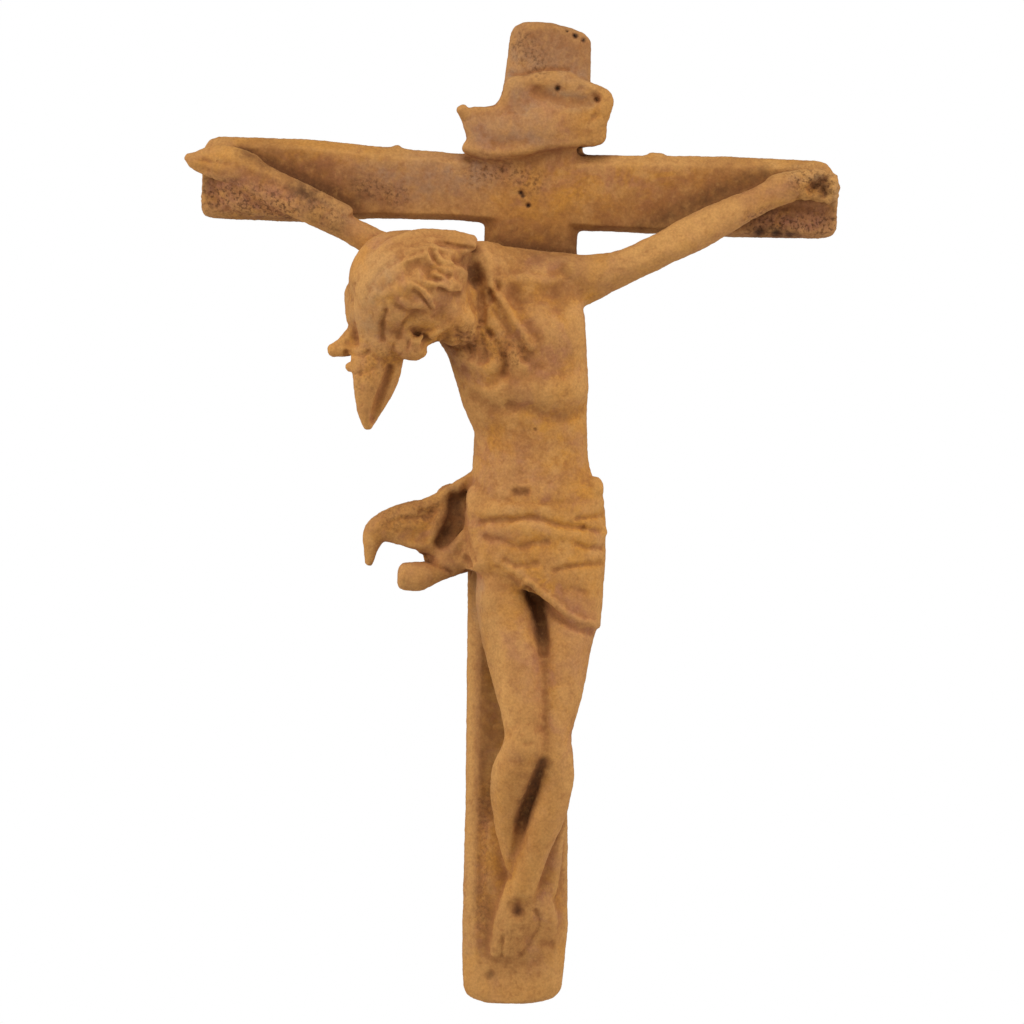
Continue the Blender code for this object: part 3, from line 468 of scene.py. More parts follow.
def add_beam():
    """The beam: a little higher at its ends, its corners worn and three small casting burrs on its top."""
    size = sizes()
    half_end = size.beam_end / 2
    half_middle = size.beam_middle / 2
    left = -size.beam_left
    right = size.beam_right
    # each row: millimetres in from the end, up from the low edge and down from the high edge
    worn_left = [(0, 2.6, 4), (0.9, 1, 2.6), (2, 0.6, 1.2), (4.8, 0.2, 0)]
    worn_right = [(7.4, 0.5, 1), (4, 0.8, 1.9), (2.4, 1.2, 3.6), (1, 1.9, 5.7), (0, 3.8, 7.6)]
    stations = []
    for along, low, high in worn_left:
        stations.append((left + along * MM, -half_end + low * MM, half_end - high * MM))
    stations += [
        (left * 0.70, -half_end, half_end + 0.2 * MM),
        (left * 0.50, -half_middle - 0.2 * MM, half_middle + 0.8 * MM),
        (left * 0.25, -half_middle + 0.2 * MM, half_middle - 0.7 * MM),
        (right * 0.16, -half_middle * 1.15, half_middle + 0.4 * MM),
        (right * 0.60, -half_end, half_end - 0.7 * MM),
    ]
    for along, low, high in worn_right:
        stations.append((right - along * MM, -half_end + low * MM, half_end - high * MM))
    bar("beam", stations, False, (size.bevel_width * 0.35, size.bevel_width * 0.75))
    for across, up in ((-48.5, 11.9), (35, 12.4), (37.6, 12.4)):
        mass("burr", (across, -6, up), (1.6, 3, 0.9))


def scroll_point(across, up, out):
    """A point on the scroll: shares of its width and height from its middle, shares of its depth."""
    size = sizes()
    x = across * size.scroll_width - size.lean
    z = up * size.scroll_height + size.scroll_lift
    return np.array((x, front() - out * size.scroll_depth, z))


def pillow(name, outline, rim, crown):
    """A closed cushion over a smooth outline: its rim and its crown are depths from the cross's front."""
    closed = outline[-1:] + outline + outline[:2]
    shares = np.linspace(1, len(closed) - 2, 8 * len(outline), endpoint=False) / (len(closed) - 1)
    edge = smooth_values(closed, shares)
    middle = edge.mean(axis=0)
    rings = []
    # from the back to the crown: the share of the outline, and of the way from the rim to the crown
    for scale, rise in ((1, None), (1, 0), (0.985, 0.45), (0.94, 0.75), (0.82, 0.92), (0.4, 1)):
        ring = middle + (edge - middle) * scale
        out = -sizes().bevel_depth if rise is None else rim + (crown - rim) * rise
        rings.append([(x, front() - out, z) for x, z in ring])
    return prism(name, rings)


def scroll_limb(name, points, widths, depth=None):
    """A limb along points of the scroll: shares of half its height, and of its depth if flattened."""
    half = sizes().scroll_height / 2
    depths = None if depth is None else [depth * sizes().scroll_depth] * len(points)
    return limb(name, [scroll_point(*point) for point in points], [width * half for width in widths], depths)


def add_scroll():
    """The scroll: a bowed band with a rolled lower edge, a knob at the left and a lobe at the right."""
    deep = sizes().scroll_depth
    shares = [
        (-0.42, 0.09), (-0.32, 0.115), (-0.25, 0.15), (-0.212, 0.28), (-0.172, 0.48), (0, 0.57),
        (0.22, 0.60), (0.36, 0.42), (0.45, 0.38), (0.505, 0.26), (0.50, 0.12), (0.47, 0.04), (0.472, -0.14),
        (0.455, -0.28), (0.36, -0.34), (0.12, -0.38), (-0.10, -0.52), (-0.30, -0.54), (-0.44, -0.46),
        (-0.425, -0.28), (-0.455, -0.12),
    ]
    outline = [tuple(scroll_point(across, up, 0)[[0, 2]]) for across, up in shares]
    pillow("scroll", outline, deep * 0.30, deep * 0.72)
    swell = [(-0.38, -0.20, 0), (-0.14, -0.14, 0.25), (0.12, -0.06, 0.36), (0.40, -0.02, 0)]
    scroll_limb("scroll swell", swell, (0.52, 0.66, 0.66, 0.5), 0.72)
    brow = [(-0.16, 0.36, 0), (0.02, 0.46, 0.30), (0.20, 0.46, 0.28), (0.42, 0.30, 0.1)]
    scroll_limb("scroll brow", brow, (0.20, 0.26, 0.26, 0.2), 0.6)
    roll = [
        (-0.46, -0.40, 0.1), (-0.25, -0.45, 0.38), (-0.05, -0.40, 0.46), (0.12, -0.30, 0.42),
        (0.36, -0.26, 0.2),
    ]
    scroll_limb("scroll roll", roll, (0.16, 0.16, 0.16, 0.16, 0.16), 0.5)
    knob = [(-0.41, -0.10, 0), (-0.45, 0.03, 0.3), (-0.487, 0.12, 0.45)]
    scroll_limb("scroll knob", knob, (0.20, 0.16, 0.17))
    lobe = [(0.40, -0.26, 0), (0.415, -0.10, 0.3), (0.44, 0.10, 0.4), (0.45, 0.28, 0.35), (0.34, 0.42, 0.1)]
    scroll_limb("scroll lobe", lobe, (0.18, 0.18, 0.22, 0.22, 0.12))


def add_trunk():
    """The trunk: shoulders, chest with its arch of ribs, narrow waist and hips."""
    trunk = [
        (-14, 5, -20, 14, 5), (-15, 7, -27, 27, 8), (-11.3, 9.4, -38, 25.9, 12),
        (-7.9, 10.2, -48, 23.1, 13.4), (-5.6, 10.2, -58, 21.9, 13), (-3.6, 9.6, -68, 20.6, 12.2),
        (-1.7, 8.3, -78, 18.4, 10.6), (-1.2, 8, -87, 18.6, 10.6), (-0.8, 8.2, -95, 19.8, 11.4),
        (0.6, 8.4, -106, 23, 12), (1.2, 8.4, -118, 22.4, 11.6), (1.6, 8, -130, 19.5, 9),
    ]
    body_limb("trunk", trunk, sides=64, rings=110, roundness=0.4)
    mass("left hip bone", (-15, 10, -102), (7, 6, 7), 30)
    mass("right hip bone", (17, 10, -102), (5.6, 6, 6.5), -30)
    collar = [(-30, 8, -29, 8), (-18, 12, -27, 8), (-4, 9, -27, 7), (10, 8, -28, 7), (20, 8, -27.5, 6.4)]
    body_limb("shoulders", collar, sides=32, rings=40)
    neck = [(-31, 16, -31, 9, 9), (-20, 14, -27, 8.5, 8.5), (-11, 9, -26.4, 8.6, 8)]
    body_limb("neck", neck, sides=32)
    cord = [
        (-23, 18.6, -20.2, 1.8, 2), (-18, 17.6, -19.8, 1.9, 2), (-14, 15, -22.6, 1.9, 2),
        (-9, 13.2, -25.4, 1.6, 1.6), (-4, 12.2, -26.6, 1.2, 1.2),
    ]
    body_limb("neck cord", cord)


def arm(name, shoulder, wrist, stations):
    """An arm from shoulder to wrist by share of the way, sag, out, half width and half depth."""
    points = []
    for share, sag, out in [station[:3] for station in stations]:
        spot = shoulder + (wrist - shoulder) * share
        spot[1] = front() - out * MM
        spot[2] += sag * MM
        points.append(spot)
    return station_limb(name, points, stations, sides=32, rings=60)


def left_wrist():
    """The wrist at the beam's left end."""
    size = sizes()
    return np.array((-size.beam_left + 11.5 * MM, front(), size.beam_end * 0.13))


def right_wrist():
    """The wrist at the beam's right end."""
    size = sizes()
    return np.array((size.beam_right - 12.95 * MM, front(), size.beam_end * 0.12))


def add_arms():
    """Both arms, drawn up and out to the ends of the beam."""
    left = [
        (0.00, 0, 8, 8, 7.5), (0.20, -0.8, 8, 5.4, 6.6), (0.41, -0.9, 8, 4.3, 5.6),
        (0.55, -0.9, 8, 4.6, 5.4), (0.70, -0.8, 7, 5.4, 5.2), (0.84, -0.6, 5.4, 5.8, 4.2),
        (1.00, 0, 4, 5.4, 3.6),
    ]
    arm("left arm", place(-36, 0, -28), left_wrist(), left)
    crest = [
        (-104, 6.6, 7.8, 1.8, 1.6), (-94, 8, 3.4, 2.2, 2), (-84, 9.6, -1, 2.4, 2.4),
        (-74, 10.4, -5.4, 2.4, 2.4), (-62, 10.6, -11, 2.4, 2.4),
    ]
    body_limb("left arm's crest", crest)
    slope = [(-106, 0.6, -2, 6.5, 2.2), (-98, 1.2, -3, 8, 3), (-90, 1.8, -5.6, 7, 3.4), (-80, 2, -9, 4, 3)]
    body_limb("left arm's lower slope", slope, sides=32, rings=40)
    right = [
        (-0.14, 1, 6, 7, 7), (0.00, 0, 7.4, 7.6, 7.6), (0.18, -1.7, 8.6, 5.8, 6.8), (0.36, -1.2, 9, 5.5, 6),
        (0.50, -0.4, 8, 6, 5.8), (0.66, 0.7, 6.6, 5.5, 5), (0.84, 1.4, 5, 4.4, 4.2),
        (1.00, 0.6, 3.6, 4.6, 3.8),
    ]
    arm("right arm", place(14, 0, -29), right_wrist(), right)
    ridge = [
        (24, 12.4, -23.6, 2.4, 2.4), (38, 12.2, -16.8, 2.6, 2.4), (50, 10.6, -10.4, 2.6, 2.2),
        (62, 8.8, -3.8, 2.4, 2), (73, 7.6, 3, 2.4, 1.8), (79, 7.2, 6.4, 2, 1.6),
    ]
    body_limb("right arm's crest", ridge)
    body_limb("right armpit", [(9, 8, -34.6, 5.6, 7), (17, 8, -33, 3.4, 5), (24, 8, -30.4, 2, 4)])


def add_left_hand():
    """The hand at the beam's left end: a broad flat wedge of fingers worn together, past the end."""
    wrist = left_wrist()
    stations = [
        (8, 4.6, -1.4, 4.8, 3.6), (0, 4.8, 0.4, 5.8, 3.6), (-5.6, 4.6, 1.2, 6, 3.2),
        (-10, 4.2, 1.5, 4.9, 2.6), (-13.6, 3.9, 1.6, 3.5, 2.2), (-15.9, 3.8, 2.4, 2, 1.7),
        (-17.3, 3.8, 3.2, 0.9, 1.2),
    ]
    points = [wrist + np.array((across, -out, up)) * MM for across, out, up, _, _ in stations]
    station_limb("left hand", points, stations, sides=36, rings=60, roundness=0.5)


def add_right_hand():
    """The hand at the beam's right end, closed round a worn hollow."""
    hand = [
        (72, 5.6, 1.6, 4.4, 4.2), (80, 4.8, 3.6, 5, 4), (86, 4.8, 4.4, 5, 4.4), (91.4, 4.6, 3.9, 5.5, 4.2),
        (95.6, 3.6, 3.2, 3.4, 2.6),
    ]
    body_limb("right hand", hand, sides=32, rings=50, roundness=0.6)
    knuckles = [
        ((86, 7.6, 7.4), 1.7), ((88.8, 8, 8.2), 1.8), ((91.6, 7.8, 7.8), 1.7), ((94, 7, 5.6), 1.6),
        ((94.9, 6.2, 3.2), 1.5), ((94.6, 5.8, 0.6), 1.5), ((92.6, 5.6, -1), 1.3), ((83, 7.4, 7.2), 1.3),
    ]
    for centre, radius in knuckles:
        mass("knuckle", centre, (radius * 1.2, radius, radius * 0.9))


# The head and its hair: middle, size or radii, the directions of crown and face, and the dome's flattest edge
HEAD_MIDDLE = (-41.5, 22.5, -35.6)
HEAD_SIZE = 1.08
HEAD_UP = np.array((-0.93, -0.24, 0.27))
HEAD_FACE = np.array((-0.16, -0.50, -0.85))
HAIR_MIDDLE = (-43.4, 21.0, -31.8)
HAIR_RADII = (19.2, 18.6, 16.6)
DOME_EDGE = 0.12


def head_axes():
    """The head's own directions: side, face and crown."""
    up = HEAD_UP / np.linalg.norm(HEAD_UP)
    face = HEAD_FACE - up * (HEAD_FACE @ up)
    face /= np.linalg.norm(face)
    return np.cross(face, up), face, up


def on_head(side, face, up):
    """A point of the head, along its own directions from its middle."""
    axes = head_axes()
    spot = axes[0] * side + axes[1] * face + axes[2] * up
    return place(*HEAD_MIDDLE) + spot * HEAD_SIZE * MM


def head_mass(name, centre, radii):
    """An ellipsoid laid along the head's own directions."""
    ball = new_ball(name, 32, 20)
    spots = read_spots(ball) * np.array(radii) @ np.array(head_axes())
    write_spots(ball, on_head(*centre) + spots * HEAD_SIZE * MM)
    return ball


def head_limb(name, points, widths, depths=None):
    """A limb along points of the head."""
    size = HEAD_SIZE * MM
    spots = [on_head(*point) for point in points]
    half_depths = None if depths is None else [depth * size for depth in depths]
    half_widths = [width * size for width in widths]
    return limb(name, spots, half_widths, half_depths, out=head_axes()[1], sides=20, rings=24)


def add_head():
    """The bowed head with a calm, plain face on the usual proportions."""
    head_mass("skull", (0, -2, 5), (13.6, 16, 15))
    head_mass("jaw", (0, 2.6, -6), (9.6, 10.2, 13))
    head_mass("forehead", (0, 5.4, 7.4), (9.6, 8.6, 7.4))
    head_mass("brow", (0, 11.4, 3.4), (7.4, 2.4, 1.7))
    for side in (-1, 1):
        head_mass("cheek", (side * 6, 8.8, -3.6), (3, 3, 3))
        head_mass("eye", (side * 4, 10.9, 0.5), (2, 1.5, 1.25))
        head_limb("lid", [
            (side * 2.2, 12.2, 0.1), (side * 4.0, 12.7, -0.5), (side * 5.9, 11.2, 0.1),
        ], [0.35, 0.45, 0.3])
        moustache = [(side * 0.5, 13.7, -7.5), (side * 3, 12.9, -8.4), (side * 5.6, 10, -11.6)]
        head_limb("moustache", moustache, [0.95, 1.15, 0.7])
        head_mass("nostril", (side * 1.3, 14.4, -4.9), (0.95, 1.1, 0.8))
    head_limb("nose", [
        (0, 12.3, 2.6), (0, 14.0, -0.8), (0, 15.9, -3.9), (0, 15.4, -5.2),
    ], [1.05, 1.15, 1.3, 0.9])
    head_limb("upper lip", [(-2.2, 12.2, -9.5), (0, 13.3, -9.2), (2.2, 12.2, -9.5)], [0.4, 0.65, 0.4])
    head_limb("lower lip", [(-1.9, 11.9, -10.6), (0, 13.0, -10.8), (1.9, 11.9, -10.6)], [0.4, 0.75, 0.4])
    head_mass("beard", (0, 6, -14.4), (7, 6.4, 6.4))
    beard = [
        (-4.6, 6.4, -12), (-3, 8.6, -15), (-1.2, 9.6, -16), (0.8, 9.8, -16), (2.8, 8.8, -15),
        (4.6, 6.6, -12),
    ]
    for side, face, up in beard:
        tip = (side * 0.75, face - 1.8, up - 6.4)
        head_limb("beard lock", [(side, face, up), (side * 1.0, face + 0.4, up - 3.2), tip], [1.5, 1.3, 0.5])
    for side in (-1, 1):
        whisker = [(side * 9, 3.4, -2), (side * 8.6, 4.2, -7), (side * 6.8, 5.6, -12)]
        head_limb("whiskers", whisker, [1.6, 2.0, 1.8])
        temple = [
            (side * 3, 8.6, 14.4), (side * 8.4, 7.6, 9.6), (side * 11.4, 4.6, 3.4), (side * 11.6, 2.6, -3),
        ]
        head_limb("temple hair", temple, [1.7, 2.2, 2.4, 1.8])


def on_dome(across, up, rise, width):
    """How far out a lock lies on the hair's dome."""
    flat = ((across - HAIR_MIDDLE[0]) / HAIR_RADII[0]) ** 2 + ((up - HAIR_MIDDLE[2]) / HAIR_RADII[2]) ** 2
    return HAIR_MIDDLE[1] + HAIR_RADII[1] * math.sqrt(max(1 - flat, DOME_EDGE)) + rise - width


def hair_lock(line, widths, rise):
    """A lock that lies on the hair's dome: points across and up, half widths, and how far it stands out."""
    stations = []
    for (across, up), width in zip(line, widths):
        stations.append((across, on_dome(across, up, rise, width), up, width, width))
    body_limb("wave", stations, sides=20, rings=40)


def add_hair():
    """The long hair: a smooth dome, waves at its side, a tuft, a hanging lock and locks on the chest."""
    mass("hair dome", HAIR_MIDDLE, HAIR_RADII)
    mass("hair behind", (-53, 22, -42), (9.4, 11, 12.4), 8)
    mass("hair below", (-51.5, 23, -51), (8.4, 8, 8.6))
    mass("hair over the ear", (-31, 20, -27), (9.5, 13, 8.4))
    mass("hair by the neck", (-24, 14, -33), (9, 9, 14))
    mass("hair at the temple", (-29, 21, -36), (6, 9, 9))
    mass("hair over the forehead", (-41, 20, -46.4), (7.6, 8.6, 6.8))
    mass("hair on the neck", (-19.4, 12, -34), (5.4, 7.6, 13))
    rim = [
        (-59.4, 15, -31.6, 1.8, 5), (-61.8, 16, -36, 1.8, 6), (-61.8, 17, -42, 1.6, 6),
        (-60.6, 19, -48, 1.6, 5),
    ]
    body_limb("hair rim", rim)
    edge = [
        (-58.2, 23, -33, 1.6, 3), (-60.2, 23.8, -39, 1.4, 3), (-59.4, 25, -45, 1.5, 3),
        (-57.6, 25.8, -50, 1.6, 3),
    ]
    body_limb("dome edge", edge)
    hanging = [
        [
            (-54, 23, -48, 6, 5), (-54.4, 24, -57, 6.4, 4.4), (-55, 24, -66, 4.8, 3.8),
            (-55.2, 23.4, -74, 3.2, 2.9), (-54.4, 22, -81, 1.4, 1.4),
        ],
        [
            (-48, 24, -50, 4.4, 4), (-47.4, 22.5, -58, 3.6, 3.4), (-48.6, 22, -66, 3, 3),
            (-51.6, 22, -74, 1.8, 2.2), (-53.8, 22, -80, 0.9, 1.2),
        ],
        [
            (-57, 20, -47, 4, 4), (-61.6, 20, -53, 3.8, 3.4), (-65.2, 19, -54.8, 2.8, 2.4),
            (-68.6, 18.6, -55.8, 1.8, 1.6),
        ],
        [
            (-52, 24, -44, 3.4, 4), (-46, 26, -51.4, 4.2, 3.8), (-41, 26, -54.4, 3.5, 3.6),
            (-36.8, 24, -53.6, 2.9, 3),
        ],
        [(-61.4, 21.5, -54.6, 1.4, 1.8), (-57.6, 25, -55.4, 1.8, 1.8), (-53.4, 26.4, -53.6, 1.4, 1.6)],
        [(-62, 20, -60.4, 1.7, 1.8), (-57.4, 25, -60.4, 1.5, 1.6), (-52.6, 26.4, -57.4, 1.3, 1.6)],
    ]
    for lock in hanging:
        body_limb("hanging lock", lock, rings=40)
    waves = [
        ([
            (-21, -19.4), (-28, -18), (-35, -17.6), (-42, -18.4), (-50, -21.8), (-56.4, -27),
        ], [2.8, 3, 3, 3, 2.4, 1.4], 0.2),
        ([
            (-24, -22.6), (-28.4, -21.6), (-32.6, -22.4), (-37, -21.2), (-43, -22),
        ], [1.9, 1.9, 1.9, 1.8, 1], 0.9),
        ([(-27.6, -26), (-30.4, -25), (-33.6, -26.4), (-35.4, -23.8), (-39, -24.2), (-45, -26)],
         [1.5, 1.6, 1.5, 1.4, 1.5, 0.9], 1),
        ([
            (-28.8, -28.8), (-31.2, -28), (-33, -29.8), (-31.6, -31.6), (-28.8, -31.4),
        ], [1.3, 1.3, 1.2, 1.2, 1], 1.3),
        ([(-25.6, -34.2), (-28, -32.6), (-30, -33.8), (-32.4, -32.6), (-35.6, -33), (-40, -31.8)],
         [1.2, 1.3, 1.3, 1.3, 1.4, 1], 1.3),
        ([(-33.6, -35.4), (-36.6, -36.8), (-40, -34.6), (-45, -33.4)], [1.4, 1.5, 1.5, 0.9], 1.1),
        ([(-34.2, -40), (-37.6, -39), (-41.6, -39.8), (-45.4, -38)], [1.4, 1.6, 1.6, 0.9], 1),
        ([(-35.6, -47.4), (-38.6, -45), (-42.6, -45.4), (-47, -48.6)], [1.4, 1.6, 1.6, 1.2], 1.4),
        ([(-49.2, -38.4), (-47.4, -42.8), (-47.8, -47.6), (-50, -52.4)], [1.2, 1.5, 1.6, 1.4], 0.9),
        ([(-53.6, -40), (-52.4, -45), (-53.4, -50.4), (-55.6, -55)], [1.1, 1.4, 1.6, 1.4], 1),
    ]
    for line, widths, rise in waves:
        hair_lock(line, widths, rise)
    shoulder = [
        [
            (-22, 17, -19.4, 2.2, 3), (-18.6, 19, -23, 2.4, 3), (-16.8, 19.6, -29, 2.2, 3),
            (-16.4, 19.6, -35, 2, 3),
        ],
        [
            (-15.4, 17.6, -28, 1.6, 2.6), (-13, 18.4, -32.4, 1.8, 2.4), (-13, 18.8, -36.4, 1.8, 2.4),
            (-15.4, 19, -39.4, 1.6, 2),
        ],
        [
            (-14.6, 18, -34.2, 1.8, 2.4), (-11, 19.2, -38.8, 2.2, 2.6), (-7.8, 19.8, -43.4, 2.3, 2.4),
            (-4.8, 19.8, -47.6, 2.1, 2.2), (-2.4, 18.8, -51.6, 1.5, 1.6),
        ],
        [
            (-17.4, 19.2, -38, 2.2, 3), (-13.6, 19.8, -43.2, 2.6, 2.8), (-9.6, 19.8, -49, 2.6, 2.6),
            (-6, 19.2, -55.6, 2.2, 2.2),
        ],
        [(-21, 19, -41, 3, 3.2), (-19, 19.6, -47, 3.4, 3.2), (-15.6, 19.4, -52, 3.6, 2.8)],
    ]
    for lock in shoulder:
        body_limb("chest lock", lock, rings=36)
    mass("left chest lump", (-19.6, 15.6, -53.4), (8.8, 5.8, 8.6), 12)
    mass("right chest lump", (-6.6, 16, -55), (4, 5, 6.4), -10)
    mass("hair under the cheek", (-38.8, 22.6, -49.6), (3.6, 4.6, 3.2))


def add_legs():
    """The legs: knees a little bent and forward, the shins crossed, one foot over the other."""
    left = [
        (-8, 8, -116, 11, 9.5), (-7.2, 9, -137, 10, 9.4), (-4.6, 12, -150, 9.6, 9),
        (-1.8, 15, -164, 8.2, 8.2), (0.2, 17.5, -176, 7, 7.4), (0, 17.6, -183, 7.4, 7.6),
        (-3, 13.5, -192, 7.6, 7.6), (-4, 9, -203, 5.8, 6.4), (-2.6, 6, -214, 4.4, 5),
        (1.2, 3.5, -225, 4.2, 4.6), (3.6, 3, -232, 4.4, 4.4),
    ]
    right = [
        (12, 8, -118, 11.5, 10), (13, 9, -137, 9.6, 9.4), (12.4, 11, -150, 8, 8.8),
        (11, 13.5, -164, 7.2, 7.8), (9.2, 15.4, -176, 6.2, 7), (9.2, 15.6, -184, 6.6, 7),
        (10.2, 12.9, -193, 6.2, 7), (8.2, 11.4, -204, 5.8, 6.4), (5.2, 9.6, -214, 4.8, 5.2),
        (2.4, 8, -223, 4.6, 4.6), (0.4, 6.6, -231, 4.8, 4.4),
    ]
    body_limb("left leg", left, sides=40, rings=100)
    body_limb("right leg", right, sides=40, rings=100)
    mass("left kneecap", (1.2, 20.6, -180.4), (5, 4.6, 5.4))
    mass("right kneecap", (10, 18.4, -182), (4.4, 4, 4.8))
    body_limb("left shin edge", [
        (-0.6, 18, -187, 1.8, 2), (-2, 15.2, -195, 1.8, 2), (-1.8, 11.4, -205, 1.6, 1.6),
    ])
    body_limb("between the thighs", [
        (0.5, 6, -128, 5, 5), (3.6, 8, -142, 4.2, 5.4), (5, 12.8, -155, 3.8, 5.4),
        (5.6, 15.6, -165, 3.6, 5.2), (5.4, 17, -176, 3.6, 5),
    ])
    body_limb("between the shins", [
        (6.4, 15, -181, 3.6, 5), (4.8, 9.2, -189, 3.8, 5), (2.4, 6.4, -198, 3.8, 5),
        (0.2, 6, -208, 3.6, 4.6),
    ])


def add_feet():
    """The crossed feet, flattened on to the upright, with their worn toes."""
    over = [
        (1.4, 5.4, -224, 5.2, 5), (-0.2, 4.6, -233, 5.8, 4.6), (-2.4, 3, -241, 5.8, 3.4),
        (-3.8, 1.8, -247, 4.9, 2.4), (-4.4, 1, -250.4, 3.6, 1.8),
    ]
    under = [
        (5.4, 2.4, -226, 5, 4.6), (5.8, 2, -235, 5, 4), (4.6, 1.2, -241.6, 5, 3.2),
        (2.8, 0.4, -247, 4.6, 2.4), (0, 0, -250.6, 3, 1.8),
    ]
    body_limb("upper foot", over, sides=32, rings=40, roundness=0.6)
    body_limb("lower foot", under, sides=32, rings=40)
    # from the great toe to the little one: across, tip and half width
    great = np.array((-7.2, -250.9, 1.9))
    little = np.array((1.2, -247.7, 1.4))
    for share in np.linspace(0, 1, 5):
        across, tip, width = great + (little - great) * share
        toe = [(across + 1, 2.6, -243.6, width, 1.8), (across + 0.2, 2, -247.6, width, 1.6)]
        body_limb("toe", toe + [(across, 1.2, tip, width * 0.9, 1.4)], sides=20)
    heel = [
        (6.6, 2.8, -229, 2.8, 2.8), (9.4, 2, -235, 2.6, 2.6), (10.6, 0.8, -240, 2.4, 2),
        (8, 0.4, -245, 2, 1.6),
    ]
    body_limb("lower foot's edge", heel)
    mass("ground round the feet", (0, 0.2, -238), (13, 1.6, 15))
    body_limb("ground beside the shin", [
        (-8, 0, -206, 4, 1.6), (-7, 0.6, -222, 4.6, 2), (-6, 0.4, -238, 5, 1.8),
    ])
    body_limb("ground right of the shin", [
        (12, 1.2, -203, 3.4, 2.2), (10, 2.4, -213, 4, 3), (8.8, 2.4, -223, 4.4, 3),
        (7.5, 1.6, -232, 4, 2.6),
    ])


# The loincloth's hem, seen from the front: across and up, in millimetres
HEM = [
    (-21, -125.2), (-12.3, -121.6), (-7.9, -124.2), (-3.4, -127.8), (-0.1, -129.6), (3.3, -132.5),
    (6.7, -134.9), (11.2, -138.6), (16.1, -141.4), (20, -142.2), (24, -142.6),
]


def add_loincloth():
    """The loincloth: a wrap round the hips whose hem falls to the right, with rolled folds across it."""
    wrap = [
        (-97, 0, 6.4, 19, 9.6), (-104, 0.3, 8, 22.2, 11.6), (-110, 0.9, 8.4, 23, 12.6),
        (-120, 1.4, 8.6, 22.8, 12.8), (-130, 1.8, 8.8, 22, 12.4), (-140, 2.4, 9, 21, 11.9),
        (-150, 3, 9, 19.8, 11.4),
    ]
    top = wrap[0][0]
    bottom = wrap[-1][0]
    sides = 72
    rows = 36
    rings = []
    for row in range(rows + 1):
        share = row / rows
        ring = []
        for side in range(sides):
            angle = 2 * math.pi * side / sides
            spot = wrap[2][1] + wrap[2][3] * math.cos(angle)
            hem = np.interp(spot, [point[0] for point in HEM], [point[1] for point in HEM])
            up = top + (hem - top) * share
            share_of_wrap = (up - top) / (bottom - top)
            across, out, width, depth = smooth_values([station[1:] for station in wrap], [share_of_wrap])[0]
            ring.append(place(across + width * math.cos(angle), out + depth * math.sin(angle), up))
        rings.append(ring)
    prism("loincloth", rings)
    rolls = [
        [
            (-21, 11.6, -106, 2.4, 2), (-12, 17.6, -105.6, 2.8, 1.6), (0, 19.2, -104.6, 2.8, 1.6),
            (10, 17.9, -106.2, 2.6, 1.6), (20.4, 12.4, -108.4, 2, 2.4),
        ],
        [
            (-20.6, 12.4, -111.4, 2.4, 2), (-10, 17.9, -111.6, 2.6, 1.8), (0, 19.8, -111, 2.9, 1.9),
            (11, 18.3, -112.6, 2.8, 1.9), (21.4, 12.2, -114, 2.3, 2.8),
        ],
        [
            (-15, 15.8, -117.4, 2, 1.6), (-9, 18, -118.8, 2.2, 1.6), (0, 19.6, -119.8, 2.4, 1.6),
            (8, 18.9, -119.4, 2.6, 1.8), (21.2, 11.4, -118, 2.4, 2.6),
        ],
        [(2, 18.8, -126.2, 2.2, 1.5), (10, 18, -127, 2.4, 1.6), (21, 11, -126, 2.4, 2.4)],
        [(16.6, 15, -103, 2.2, 1.8), (20, 12.2, -102.4, 2.4, 2.4), (22, 8.8, -101.8, 1.8, 2.4)],
    ]
    for roll in rolls:
        body_limb("cloth roll", roll, rings=40)
    border = []
    hip_middle = 1.4
    hip_half_width = 23.0
    hip_out = 8.6
    hip_half_depth = 12.2
    flattest = 0.02
    hem_radius = 1.4
    for across, up in HEM[4:-1]:
        share = (across - hip_middle) / hip_half_width
        out = hip_out + hip_half_depth * math.sqrt(max(1 - share ** 2, flattest))
        border.append((across, out - 1.3, up + hem_radius, hem_radius, 1.5))
    body_limb("hem edge", border, rings=40)
    mass("hip's corner", (19.8, 11.5, -97.4), (3, 3.4, 4.4))
    mass("roll's end on the hip", (22.4, 10.5, -111.2), (2.2, 2.6, 1.8))


